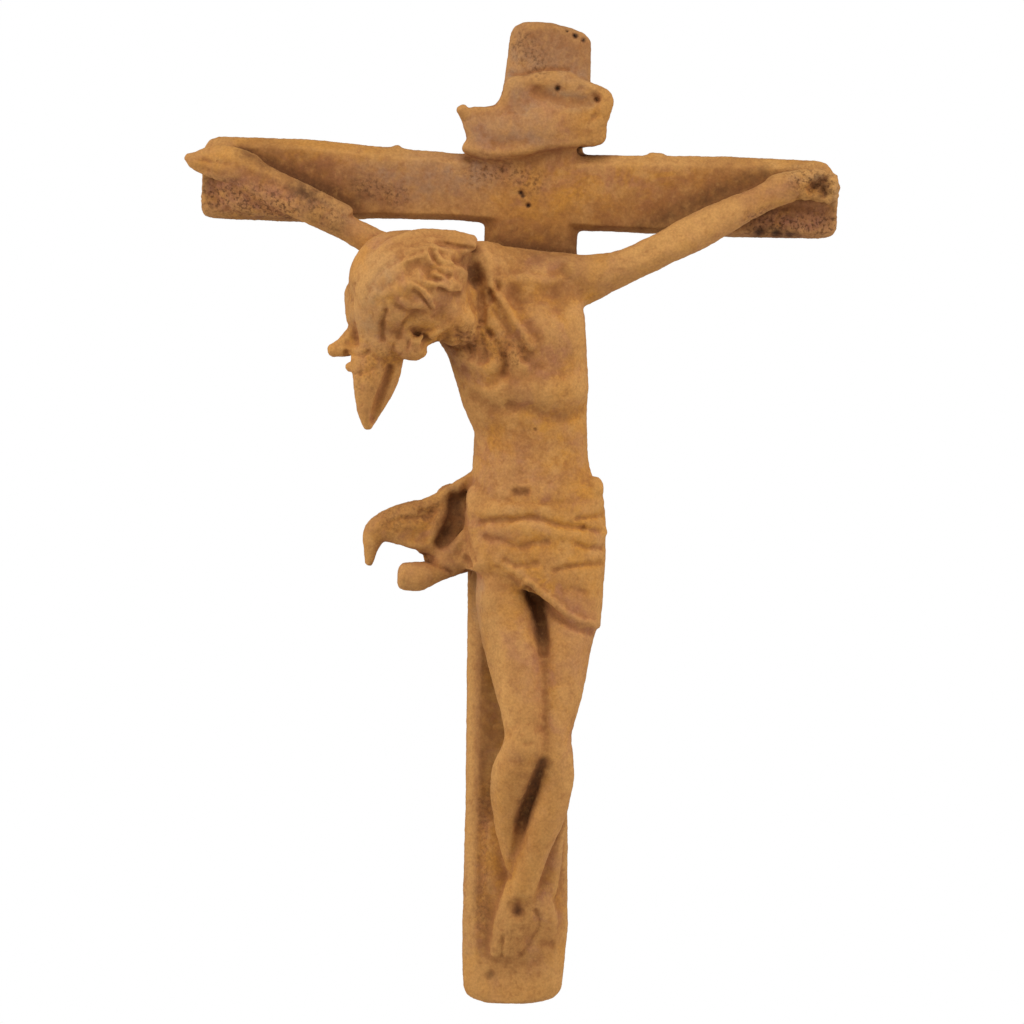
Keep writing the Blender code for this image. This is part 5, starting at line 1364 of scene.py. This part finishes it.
# Stains, painted shade and painted highlights on the casting by colour: each one's line seen from the front,
# half width and strength
STAINS_AND_PAINTED_LIGHT = {
    "mauve": [
        ([(-109, -6), (-96, -5), (-84, -7)], 9, 0.7),
        ([(-70, 3), (-56, -1), (-46, -3)], 7, 0.35),
        ([(70, -9), (82, -8), (93, -8)], 7, 0.8),
        ([(64, -1), (72, 1.5), (80, 3)], 5, 0.6),
        ([(-40, 5), (-30, 6), (-16, 6)], 7, 0.5),
        ([(-8, 44), (0, 46), (8, 44)], 11, 0.35),
        ([(-22, 18), (-10, 19), (-2, 23)], 9, 0.55),
        ([(14, -138), (18, -146), (16, -156)], 8, 0.6),
        ([(-2, -150), (2, -163)], 6, 0.3),
        ([(-30, -42), (-38, -40)], 6, 0.35),
        ([(-8, -86), (-4, -96)], 8, 0.25),
        ([(-20, 14), (-24, 20)], 6, 0.4),
    ],
    "grey": [
        ([(-8, 46), (0, 47), (8, 42)], 11, 0.75),
        ([(-56, 0), (-40, 2), (-24, 3)], 10, 0.55),
        # A painted highlight along the upright's left chamfer.
        ([(-16.6, -130), (-16.8, -190), (-16.2, -250)], 2.4, 0.6),
        ([(-6, 48), (4, 46), (12, 43)], 11, 0.9),
        ([(-52, -28), (-56, -38)], 6, 0.8),
        ([(-50, 3), (-30, 4)], 9, 0.5),
        ([(-12, 36), (-10, 30), (-6, 25)], 4.2, 0.8),
        ([(-24, 18), (-12, 18), (-2, 18)], 6, 0.5),
        ([(-60, -36), (-59, -43), (-54, -49)], 5.5, 0.6),
        ([(2, 31), (10, 29), (14, 30)], 4, 0.6),
        ([(82, 8), (88, 8), (91, 6)], 3.4, 0.8),
        ([(95, 4), (95, -1)], 1.8, 0.9),
        ([(-78, -3), (-72, -7), (-64, -11)], 4, 0.4),
        ([(-9, -105.1), (-4.4, -105.3)], 1.6, 0.5),
    ],
    # Mostly painted shade: above both arms, under the beam, beside the left leg and the feet, in the gaps
    # between the thighs and between the shins, and in the hollows of the hip, navel, neck, armpit, right hand
    # and nail hole; the lines on the left forearm and round the pits are dark rust.
    "dark": [
        ([(-0.4, -235.2), (-0.2, -235.6)], 1.9, 0.7),
        ([(-80, -2), (-76, -4)], 4.5, 0.75),
        ([(-77, -8), (-72, -12), (-66, -15)], 4, 0.35),
        ([(70, -12), (76, -11.6), (82, -12.4)], 2.2, 0.8),
        ([(88.4, 4.4), (90.6, 4.2), (90.6, 1.6)], 2.8, 0.55),
        ([(-98, 8.6), (-84, 2.6), (-70, -3), (-62, -6)], 3.2, 0.5),
        ([(-90, 7), (-76, 2), (-62, -3)], 6.5, 0.22),
        ([(32, -11.5), (48, -3.5), (60, 2.6), (72, 7.6)], 3.2, 0.5),
        ([(-10, -18), (0, -19), (8, -19)], 6.5, 0.3),
        ([(-0.6, -131), (2.4, -137), (4.6, -147)], 2.6, 0.6),
        ([(6.2, -187), (3, -196), (0, -206)], 3, 0.75),
        ([(-25.6, -101), (-25.4, -108), (-28.6, -115)], 3.6, 0.6),
        ([(-24, -24.6), (-21.4, -28)], 3.4, 0.45),
        ([(-5.4, -99.3), (-3, -99.5)], 2, 0.4),
        ([(-13, -136), (-12.4, -160), (-12.4, -186), (-13.4, -204)], 3.4, 0.22),
        ([(-12.4, -230), (-11, -240), (-12, -246)], 4, 0.2),
        ([(6, -34), (8, -29)], 6, 0.18),
    ],
    "amber": [
        ([(6, -190), (2, -212), (-1, -226)], 7, 0.8),
        ([(-6, -192), (-4, -214)], 6, 0.7),
        ([(-12, -14), (0, -14), (8, -14)], 8, 0.7),
        # These two lines are painted highlights along the beam's top edge.
        ([(60, 11.4), (80, 11.4)], 3.6, 0.9),
        ([(-100, 12.5), (-70, 12), (-50, 10.5)], 3, 0.8),
        ([(17, 33), (20, 28), (18, 18)], 4, 0.8),
        ([(8, -66), (14, -68)], 6, 0.6),
        ([(12, -98), (20, -100)], 6, 0.5),
        ([(18, -136), (22, -130)], 5, 0.5),
        ([(-9, -190), (-9, -198)], 4, 0.5),
        ([(-14, -262), (0, -263), (12, -262)], 5, 0.5),
    ],
    # Mostly painted shade: above both arms, under the beam, along the upright's left chamfer, beside and
    # between the legs, and in the grooves of the chest, hair, loincloth, loose end and nail hole; the brown
    # on the upright's top and on the scroll is rust.
    "umber": [
        ([(-4, 50), (6, 48), (12, 46)], 9, 0.7),
        ([(2, -192), (0, -206), (-2, -220)], 8, 0.3),
        ([(-8, 32), (-10, 28)], 5, 0.3),
        ([(-16, -147), (-14.4, -190), (-12.8, -238)], 2.2, 0.6),
        ([(-0.4, -235.2), (-0.2, -235.6)], 2.4, 0.9),
        ([(20, -10), (34, -5), (50, 2), (64, 7)], 8, 0.75),
        ([(-92, 8), (-78, 3), (-62, -2), (-50, -6)], 7, 0.6),
        ([(-12, -14), (0, -16), (8, -14)], 9, 0.7),
        ([(-30, -6), (-12, -6), (0, -3)], 8, 0.3),
        ([(-2, -188), (-1, -200), (2, -216)], 6, 0.4),
        ([(-13, -200), (-12, -225), (-12, -244)], 4, 0.45),
        ([(-3, -48), (-2, -60), (-6, -66)], 5, 0.4),
        ([(-26, -49), (-18, -52), (-8, -52)], 6, 0.55),
        ([(-8, -37), (0, -35), (7, -31)], 6, 0.4),
        ([(-50, -64), (-53, -74)], 5, 0.4),
        ([(-48, -110), (-36, -106), (-26, -112)], 7, 0.5),
        ([(-24, -122), (-34, -124)], 6, 0.4),
        ([(-12, -116), (-2, -118), (4, -118)], 4.5, 0.35),
    ],
    # Mostly painted highlights: on the upright's left chamfer, the beam's top edge, the right arm's crest and
    # the lit sides of the thighs, torso, head and knees; the bright knuckles are wear.
    "tan": [
        ([(83.4, 8.4), (86.6, 10.2)], 2.2, 1),
        ([(93.6, 5.6), (92.4, 0.2)], 1.8, 1),
        ([(-18.6, -143), (-17, -190), (-15.2, -246)], 2, 0.9),
        ([(-13.6, -134), (-9.6, -154), (-6, -174)], 2.6, 0.8),
        ([(-22.5, -82), (-21.5, -92)], 3, 0.7),
        ([(14, -40), (15, -52), (14.5, -66)], 4, 0.5),
        ([(-50, -24), (-57, -32), (-59, -40)], 4, 0.5),
        ([(28, -20), (44, -12), (60, -4)], 5.5, 0.9),
        ([(16, 11.5), (50, 10.6), (80, 9.2)], 3.2, 0.7),
        ([(-9.6, -186), (-10, -194)], 2.6, 0.7),
        ([(15, -186), (15.4, -194)], 2.4, 0.7),
        ([(-12, -256), (0, -258), (10, -256)], 8, 0.5),
    ],
}


def fray(spot):
    """How far the edges of the stains and of the painted shade and highlights are frayed at a point."""
    return noise.noise(Vector(spot) / BROAD_FRAY) + FINE_FRAY_SHARE * noise.noise(Vector(spot) / FINE_FRAY)


def stain_and_paint_light(piece):
    """Paint the strengths of the stains and of the painted shade and highlights on the casting, frayed by
    noise, and the black floors of the pits.
    """
    spots = read_spots(piece)
    flat = spots[:, [0, 2]].copy()
    frays = np.array([fray(spot) for spot in spots])
    facing = np.clip(STAIN_AND_LIGHT_SIDES - read_normals(piece)[:, 1], 0, 1)
    for kind, stains in STAINS_AND_PAINTED_LIGHT.items():
        strength = np.zeros(len(spots))
        for line, width, share in stains:
            touch = stroke_weight(flat, line, width * STAIN_AND_LIGHT_SPREAD) ** STAIN_AND_LIGHT_FALL
            strength = np.maximum(strength, touch * share)
        store(piece, kind, np.clip(strength * (1 + STAIN_AND_LIGHT_FRAY * frays) * facing, 0, 1))
    black = np.zeros(len(spots))
    for across, up, width, depth in PITS:
        touch = stroke_weight(flat, pit_line(across, up), width * PIT_STAIN)
        black = np.maximum(black, touch * min(depth, 1))
    store(piece, "pit", black * facing)
    store(piece, "speckled", speckle(flat) * facing)
    # How far the skin stands out from the cross, which makes it a little lighter.
    store(piece, "worn", np.clip((front() - WORN_START - spots[:, 1]) / WORN_RANGE, 0, 1))


def paint_wear_and_shade(piece):
    """Store how hollow and how raised the skin is at every corner, for the painted shade of the hollows and
    creases and for the worn tan of the raised places.
    """
    links = neighbours(piece)
    spots = read_spots(piece)
    normals = read_normals(piece)
    fine = blurred(spots, links, FINE_ROUNDS)
    broad = blurred(fine, links, BROAD_ROUNDS)
    openness_for_painted_shade = blurred(sky_share_for_painted_shade(piece)[:, None], links, SKY_ROUNDS)
    store(piece, "open", openness_for_painted_shade[:, 0])
    store(piece, "raised_fine", ((spots - fine) * normals).sum(axis=1) / MM)
    store(piece, "raised", ((fine - broad) * normals).sum(axis=1) / MM)


class Wiring:
    """Short hands for building a material's nodes."""

    def __init__(self, material):
        material.use_nodes = True
        self.tree = material.node_tree
        self.coords = self.tree.nodes.new("ShaderNodeTexCoord")

    def connect(self, socket, value):
        """Link an output to a socket, or set the socket to a number or a colour."""
        if isinstance(value, bpy.types.NodeSocket):
            self.tree.links.new(value, socket)
        else:
            socket.default_value = value

    def noise(self, scale, detail, rough=0.5, distort=0.0):
        """Noise over the object's own coordinates."""
        node = self.tree.nodes.new("ShaderNodeTexNoise")
        settings = {"Scale": scale, "Detail": detail, "Roughness": rough, "Distortion": distort}
        for name, value in settings.items():
            node.inputs[name].default_value = value
        self.tree.links.new(self.coords.outputs["Object"], node.inputs["Vector"])
        return node.outputs["Fac"]

    def attribute(self, name):
        """A number stored on the corners."""
        node = self.tree.nodes.new("ShaderNodeAttribute")
        node.attribute_name = name
        return node.outputs["Fac"]

    def ramp(self, source, low, high, out_low=0.0, out_high=1.0):
        """A value mapped from one range to another."""
        node = self.tree.nodes.new("ShaderNodeMapRange")
        settings = {"From Min": low, "From Max": high, "To Min": out_low, "To Max": out_high}
        for name, value in settings.items():
            node.inputs[name].default_value = value
        self.tree.links.new(source, node.inputs["Value"])
        return node.outputs["Result"]

    def times(self, first, second):
        """The product of two values."""
        return self.math("MULTIPLY", first, second)

    def math(self, operation, first, second):
        """Arithmetic on two values."""
        node = self.tree.nodes.new("ShaderNodeMath")
        node.operation = operation
        self.connect(node.inputs[0], first)
        self.connect(node.inputs[1], second)
        return node.outputs["Value"]

    def mix(self, share, first, second):
        """Two colours mixed by a share of the second."""
        node = self.tree.nodes.new("ShaderNodeMix")
        node.data_type = "RGBA"
        self.connect(node.inputs["Factor"], share)
        self.connect(node.inputs[FIRST_COLOUR], first)
        self.connect(node.inputs[SECOND_COLOUR], second)
        return node.outputs[MIXED_COLOUR]


def rusted_iron():
    """Matte rust: ochre with amber and brown clouds, painted shade with some darker rust in the hollows and
    creases, painted highlights on the lit edges, worn tan on the raised places.
    """
    rust = bpy.data.materials.new("rusted_iron")
    wires = Wiring(rust)
    colours = look()
    shader = rust.node_tree.nodes["Principled BSDF"]
    mottle = wires.noise(420, 4, 0.6)
    grain = wires.noise(1300, 3, 0.6)
    raised = wires.attribute("raised")
    openness_for_painted_shade = wires.attribute("open")
    specks = wires.times(wires.ramp(wires.noise(850, 3, 0.6), 0.50, 0.62), wires.attribute("speckled"))
    layers = [
        (wires.ramp(wires.noise(38, 5, 0.6, 0.4), 0.44, 0.58), colours.amber),
        (wires.ramp(wires.noise(120, 5, 0.65, 0.3), 0.48, 0.64, 0, 0.5), colours.brown),
        (wires.ramp(wires.noise(75, 4, 0.6, 0.6), 0.50, 0.62, 0, 0.5), colours.mauve),
        (wires.ramp(wires.noise(150, 4, 0.6), 0.50, 0.62, 0, 0.5), colours.tan),
        # The lists of stains also hold painted light: some amber, grey and tan lines are painted highlights,
        # and the umber and dark lines are mostly painted shade.
        (wires.times(wires.attribute("amber"), 0.8), colours.amber),
        (wires.times(wires.attribute("mauve"), 0.8), colours.mauve),
        (wires.times(wires.attribute("grey"), 0.75), colours.grey),
        (wires.attribute("tan"), colours.tan),
        (wires.ramp(raised, 0.05, 0.6, 0, 0.5), colours.tan),
        # Painted shade in the creases and folds, with some darker rust there: the more hollow the skin, the
        # browner it is.
        (wires.ramp(raised, -0.02, -0.6, 0, 0.6), colours.brown),
        (wires.ramp(wires.attribute("raised_fine"), -0.02, -0.10, 0, 0.4), colours.brown),
        # Painted shade: the less open a corner is, the browner and then the darker it is, with some darker
        # rust of the hollows.
        (wires.ramp(openness_for_painted_shade, 0.90, 0.40, 0, 0.75), colours.brown),
        (wires.ramp(openness_for_painted_shade, 0.60, 0.15, 0, 0.9), colours.dark),
        # Mostly painted shade, with some brown and dark rust.
        (wires.times(wires.attribute("umber"), 0.8), colours.brown),
        (wires.times(wires.attribute("dark"), 0.85), colours.dark),
        (wires.ramp(mottle, 0.52, 0.68, 0, 0.36), colours.brown),
        (wires.ramp(mottle, 0.46, 0.32, 0, 0.26), colours.tan),
        (wires.times(specks, 0.75), colours.dark),
        (wires.attribute("pit"), colours.black),
    ]
    base = colours.ochre
    for share, tone in layers:
        base = wires.mix(share, base, tone)
    shade = wires.ramp(grain, 0.35, 0.65, 0.88, 1.10)
    # A little lighter the further the skin stands out from the cross.
    shade = wires.times(shade, wires.ramp(wires.attribute("worn"), 0, 1, 0.99, 1.06))
    tint = wires.tree.nodes.new("ShaderNodeVectorMath")
    tint.operation = "SCALE"
    wires.connect(tint.inputs[0], base)
    wires.connect(tint.inputs["Scale"], shade)
    wires.connect(shader.inputs["Base Color"], tint.outputs["Vector"])
    shader.inputs["Roughness"].default_value = colours.roughness
    shader.inputs["Metallic"].default_value = 0.0
    shader.inputs["Specular IOR Level"].default_value = 0.25
    lumps = wires.tree.nodes.new("ShaderNodeBump")
    lumps.inputs["Strength"].default_value = 0.5
    lumps.inputs["Distance"].default_value = 0.00030
    height = wires.math("ADD", wires.times(mottle, 0.8), wires.times(grain, 0.35))
    wires.connect(lumps.inputs["Height"], height)
    wires.connect(shader.inputs["Normal"], lumps.outputs["Normal"])
    return rust


class MakeCross(bpy.types.Operator):
    """Model the bevelled cross"""

    bl_idname = "crucifix.cross"
    bl_label = "Cross"

    def execute(self, context):
        add_upright()
        add_beam()
        return {"FINISHED"}


class MakeScroll(bpy.types.Operator):
    """Model the bare scroll over the beam"""

    bl_idname = "crucifix.scroll"
    bl_label = "Scroll"

    def execute(self, context):
        add_scroll()
        return {"FINISHED"}


class MakeTrunk(bpy.types.Operator):
    """Model the figure's trunk and neck"""

    bl_idname = "crucifix.trunk"
    bl_label = "Trunk"

    def execute(self, context):
        add_trunk()
        return {"FINISHED"}


class MakeArms(bpy.types.Operator):
    """Model the arms and the hands"""

    bl_idname = "crucifix.arms"
    bl_label = "Arms and hands"

    def execute(self, context):
        add_arms()
        add_left_hand()
        add_right_hand()
        return {"FINISHED"}


class MakeHead(bpy.types.Operator):
    """Model the bowed head and its hair"""

    bl_idname = "crucifix.head"
    bl_label = "Head and hair"

    def execute(self, context):
        add_head()
        add_hair()
        return {"FINISHED"}


class MakeLegs(bpy.types.Operator):
    """Model the legs and the crossed feet"""

    bl_idname = "crucifix.legs"
    bl_label = "Legs and feet"

    def execute(self, context):
        add_legs()
        add_feet()
        return {"FINISHED"}


class MakeLoincloth(bpy.types.Operator):
    """Model the loincloth and its loose ends"""

    bl_idname = "crucifix.loincloth"
    bl_label = "Loincloth"

    def execute(self, context):
        add_loincloth()
        add_loose_ends()
        return {"FINISHED"}


class CastIron(bpy.types.Operator):
    """Fuse the masses into one casting, carve it and finish its rust"""

    bl_idname = "crucifix.cast"
    bl_label = "Cast and finish"

    def execute(self, context):
        deselect()
        home = bpy.data.collections[MASSES]
        for item in home.objects:
            item.select_set(True)
        context.view_layer.objects.active = home.objects[0]
        bpy.ops.object.join()
        piece = context.view_layer.objects.active
        piece.name = PIECE
        piece.data.name = PIECE
        apply_modifier(piece, "REMESH", mode="VOXEL", voxel_size=look().voxel, adaptivity=0.0)
        for rounds, keep in FILLETS:
            fillet(piece, rounds, keep)
        carve(piece, strokes_of_figure())
        carve(piece, strokes_of_hair())
        carve_head(piece, strokes_of_face())
        carve(piece, strokes_of_scroll())
        apply_modifier(piece, "SMOOTH", factor=SMOOTH_FACTOR, iterations=SMOOTH_PASSES)
        press_pits(piece)
        roughen(piece)
        flatten_back(piece)
        thin = look().triangles / max(sum(len(face.vertices) - 2 for face in piece.data.polygons), 1)
        apply_modifier(piece, "DECIMATE", ratio=min(thin, 1.0))
        apply_modifier(piece, "TRIANGULATE")
        paint_wear_and_shade(piece)
        stain_and_paint_light(piece)
        make_active(piece)
        bpy.ops.object.shade_smooth_by_angle(angle=EDGE_ANGLE)
        piece.data.materials.clear()
        piece.data.materials.append(rusted_iron())
        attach(piece, "root")
        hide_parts(NODE)
        return {"FINISHED"}


def add_floor(stage):
    """A plain pale floor below the casting."""
    deselect()
    bpy.ops.mesh.primitive_circle_add(
        vertices=64, radius=stage.floor_radius, fill_type="NGON", location=(0, 0, 0))
    floor = bpy.context.object
    floor.name = "studio_floor"
    floor.location = (0, 0, -sizes().below - stage.floor_drop)
    bpy.ops.object.transform_apply(location=True, rotation=True, scale=True)
    paint = bpy.data.materials.new("studio_white")
    paint.use_nodes = True
    shader = paint.node_tree.nodes["Principled BSDF"]
    shader.inputs["Base Color"].default_value = stage.floor_colour
    shader.inputs["Roughness"].default_value = 0.9
    floor.data.materials.append(paint)


def add_camera(stage):
    """The camera in front of the casting, turned as in the photo."""
    deselect()
    bpy.ops.object.camera_add(location=Vector(stage.aim) + Vector((0, -stage.distance, 0)))
    camera = bpy.context.object
    camera.name = "studio_camera"
    camera.rotation_euler = (math.radians(90), stage.roll, 0)
    camera.data.sensor_width = SENSOR_WIDTH
    camera.data.lens = SENSOR_WIDTH * stage.distance / stage.frame_width
    camera.data.clip_end = FAR_CLIP
    bpy.context.scene.camera = camera


def add_room(stage):
    """Soft light from all round, which the camera sees as plain white."""
    world = bpy.data.worlds.new("studio_room")
    world.use_nodes = True
    tree = world.node_tree
    room = tree.nodes["Background"]
    seen = tree.nodes.new("ShaderNodeBackground")
    for node, strength in ((room, stage.world), (seen, 1.0)):
        node.inputs["Color"].default_value = (1, 1, 1, 1)
        node.inputs["Strength"].default_value = strength
    rays = tree.nodes.new("ShaderNodeLightPath")
    pick = tree.nodes.new("ShaderNodeMixShader")
    tree.links.new(rays.outputs["Is Camera Ray"], pick.inputs["Fac"])
    tree.links.new(room.outputs["Background"], pick.inputs[1])
    tree.links.new(seen.outputs["Background"], pick.inputs[2])
    tree.links.new(pick.outputs["Shader"], tree.nodes["World Output"].inputs["Surface"])
    bpy.context.scene.world = world


def area_light(name, spot, aim, size, watts):
    """A soft square light that looks at a point."""
    deselect()
    bpy.ops.object.light_add(type="AREA", location=spot)
    lamp = bpy.context.object
    lamp.name = name
    lamp.data.size = size
    lamp.data.energy = watts
    lamp.rotation_euler = (Vector(aim) - Vector(spot)).to_track_quat("-Z", "Y").to_euler()


class MakeStage(bpy.types.Operator):
    """Add the floor, the lights and the camera"""

    bl_idname = "crucifix.stage"
    bl_label = "Stage"

    def execute(self, context):
        stage = context.scene.crucifix_stage
        add_floor(stage)
        add_camera(stage)
        add_room(stage)
        for name, spot in LAMPS:
            area_light(name, spot, LAMPS_AIM, stage.lamp_size, getattr(stage, name))
        context.scene.view_settings.view_transform = "Standard"
        return {"FINISHED"}


class CrucifixPanel(bpy.types.Panel):
    """Lists the crucifix's sizes, looks and steps"""

    bl_idname = "VIEW3D_PT_crucifix"
    bl_label = "Cast iron crucifix"
    bl_space_type = "VIEW_3D"
    bl_region_type = "UI"
    bl_category = "Crucifix"

    def draw(self, context):
        scene = context.scene
        for group in (scene.crucifix_cross, scene.crucifix_look, scene.crucifix_stage):
            box = self.layout.box()
            for name in group.bl_rna.properties.keys():
                if name not in ("rna_type", "name"):
                    box.prop(group, name)
        for step in STEPS:
            self.layout.operator(step.bl_idname)


STEPS = (MakeCross, MakeScroll, MakeTrunk, MakeArms, MakeHead, MakeLegs, MakeLoincloth, CastIron, MakeStage)
CLASSES = (CrossSizes, CastingLook, StageLook) + STEPS + (CrucifixPanel,)


def register():
    """Register the classes and their settings."""
    for item in CLASSES:
        bpy.utils.register_class(item)
    bpy.types.Scene.crucifix_cross = bpy.props.PointerProperty(type=CrossSizes)
    bpy.types.Scene.crucifix_look = bpy.props.PointerProperty(type=CastingLook)
    bpy.types.Scene.crucifix_stage = bpy.props.PointerProperty(type=StageLook)


def unregister():
    """Take the classes and their settings away."""
    del bpy.types.Scene.crucifix_stage
    del bpy.types.Scene.crucifix_look
    del bpy.types.Scene.crucifix_cross
    for item in reversed(CLASSES):
        bpy.utils.unregister_class(item)


def main():
    """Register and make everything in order."""
    register()
    bpy.ops.crucifix.cross()
    bpy.ops.crucifix.scroll()
    bpy.ops.crucifix.trunk()
    bpy.ops.crucifix.arms()
    bpy.ops.crucifix.head()
    bpy.ops.crucifix.legs()
    bpy.ops.crucifix.loincloth()
    bpy.ops.crucifix.cast()
    bpy.ops.crucifix.stage()


if __name__ == "__main__":
    main()
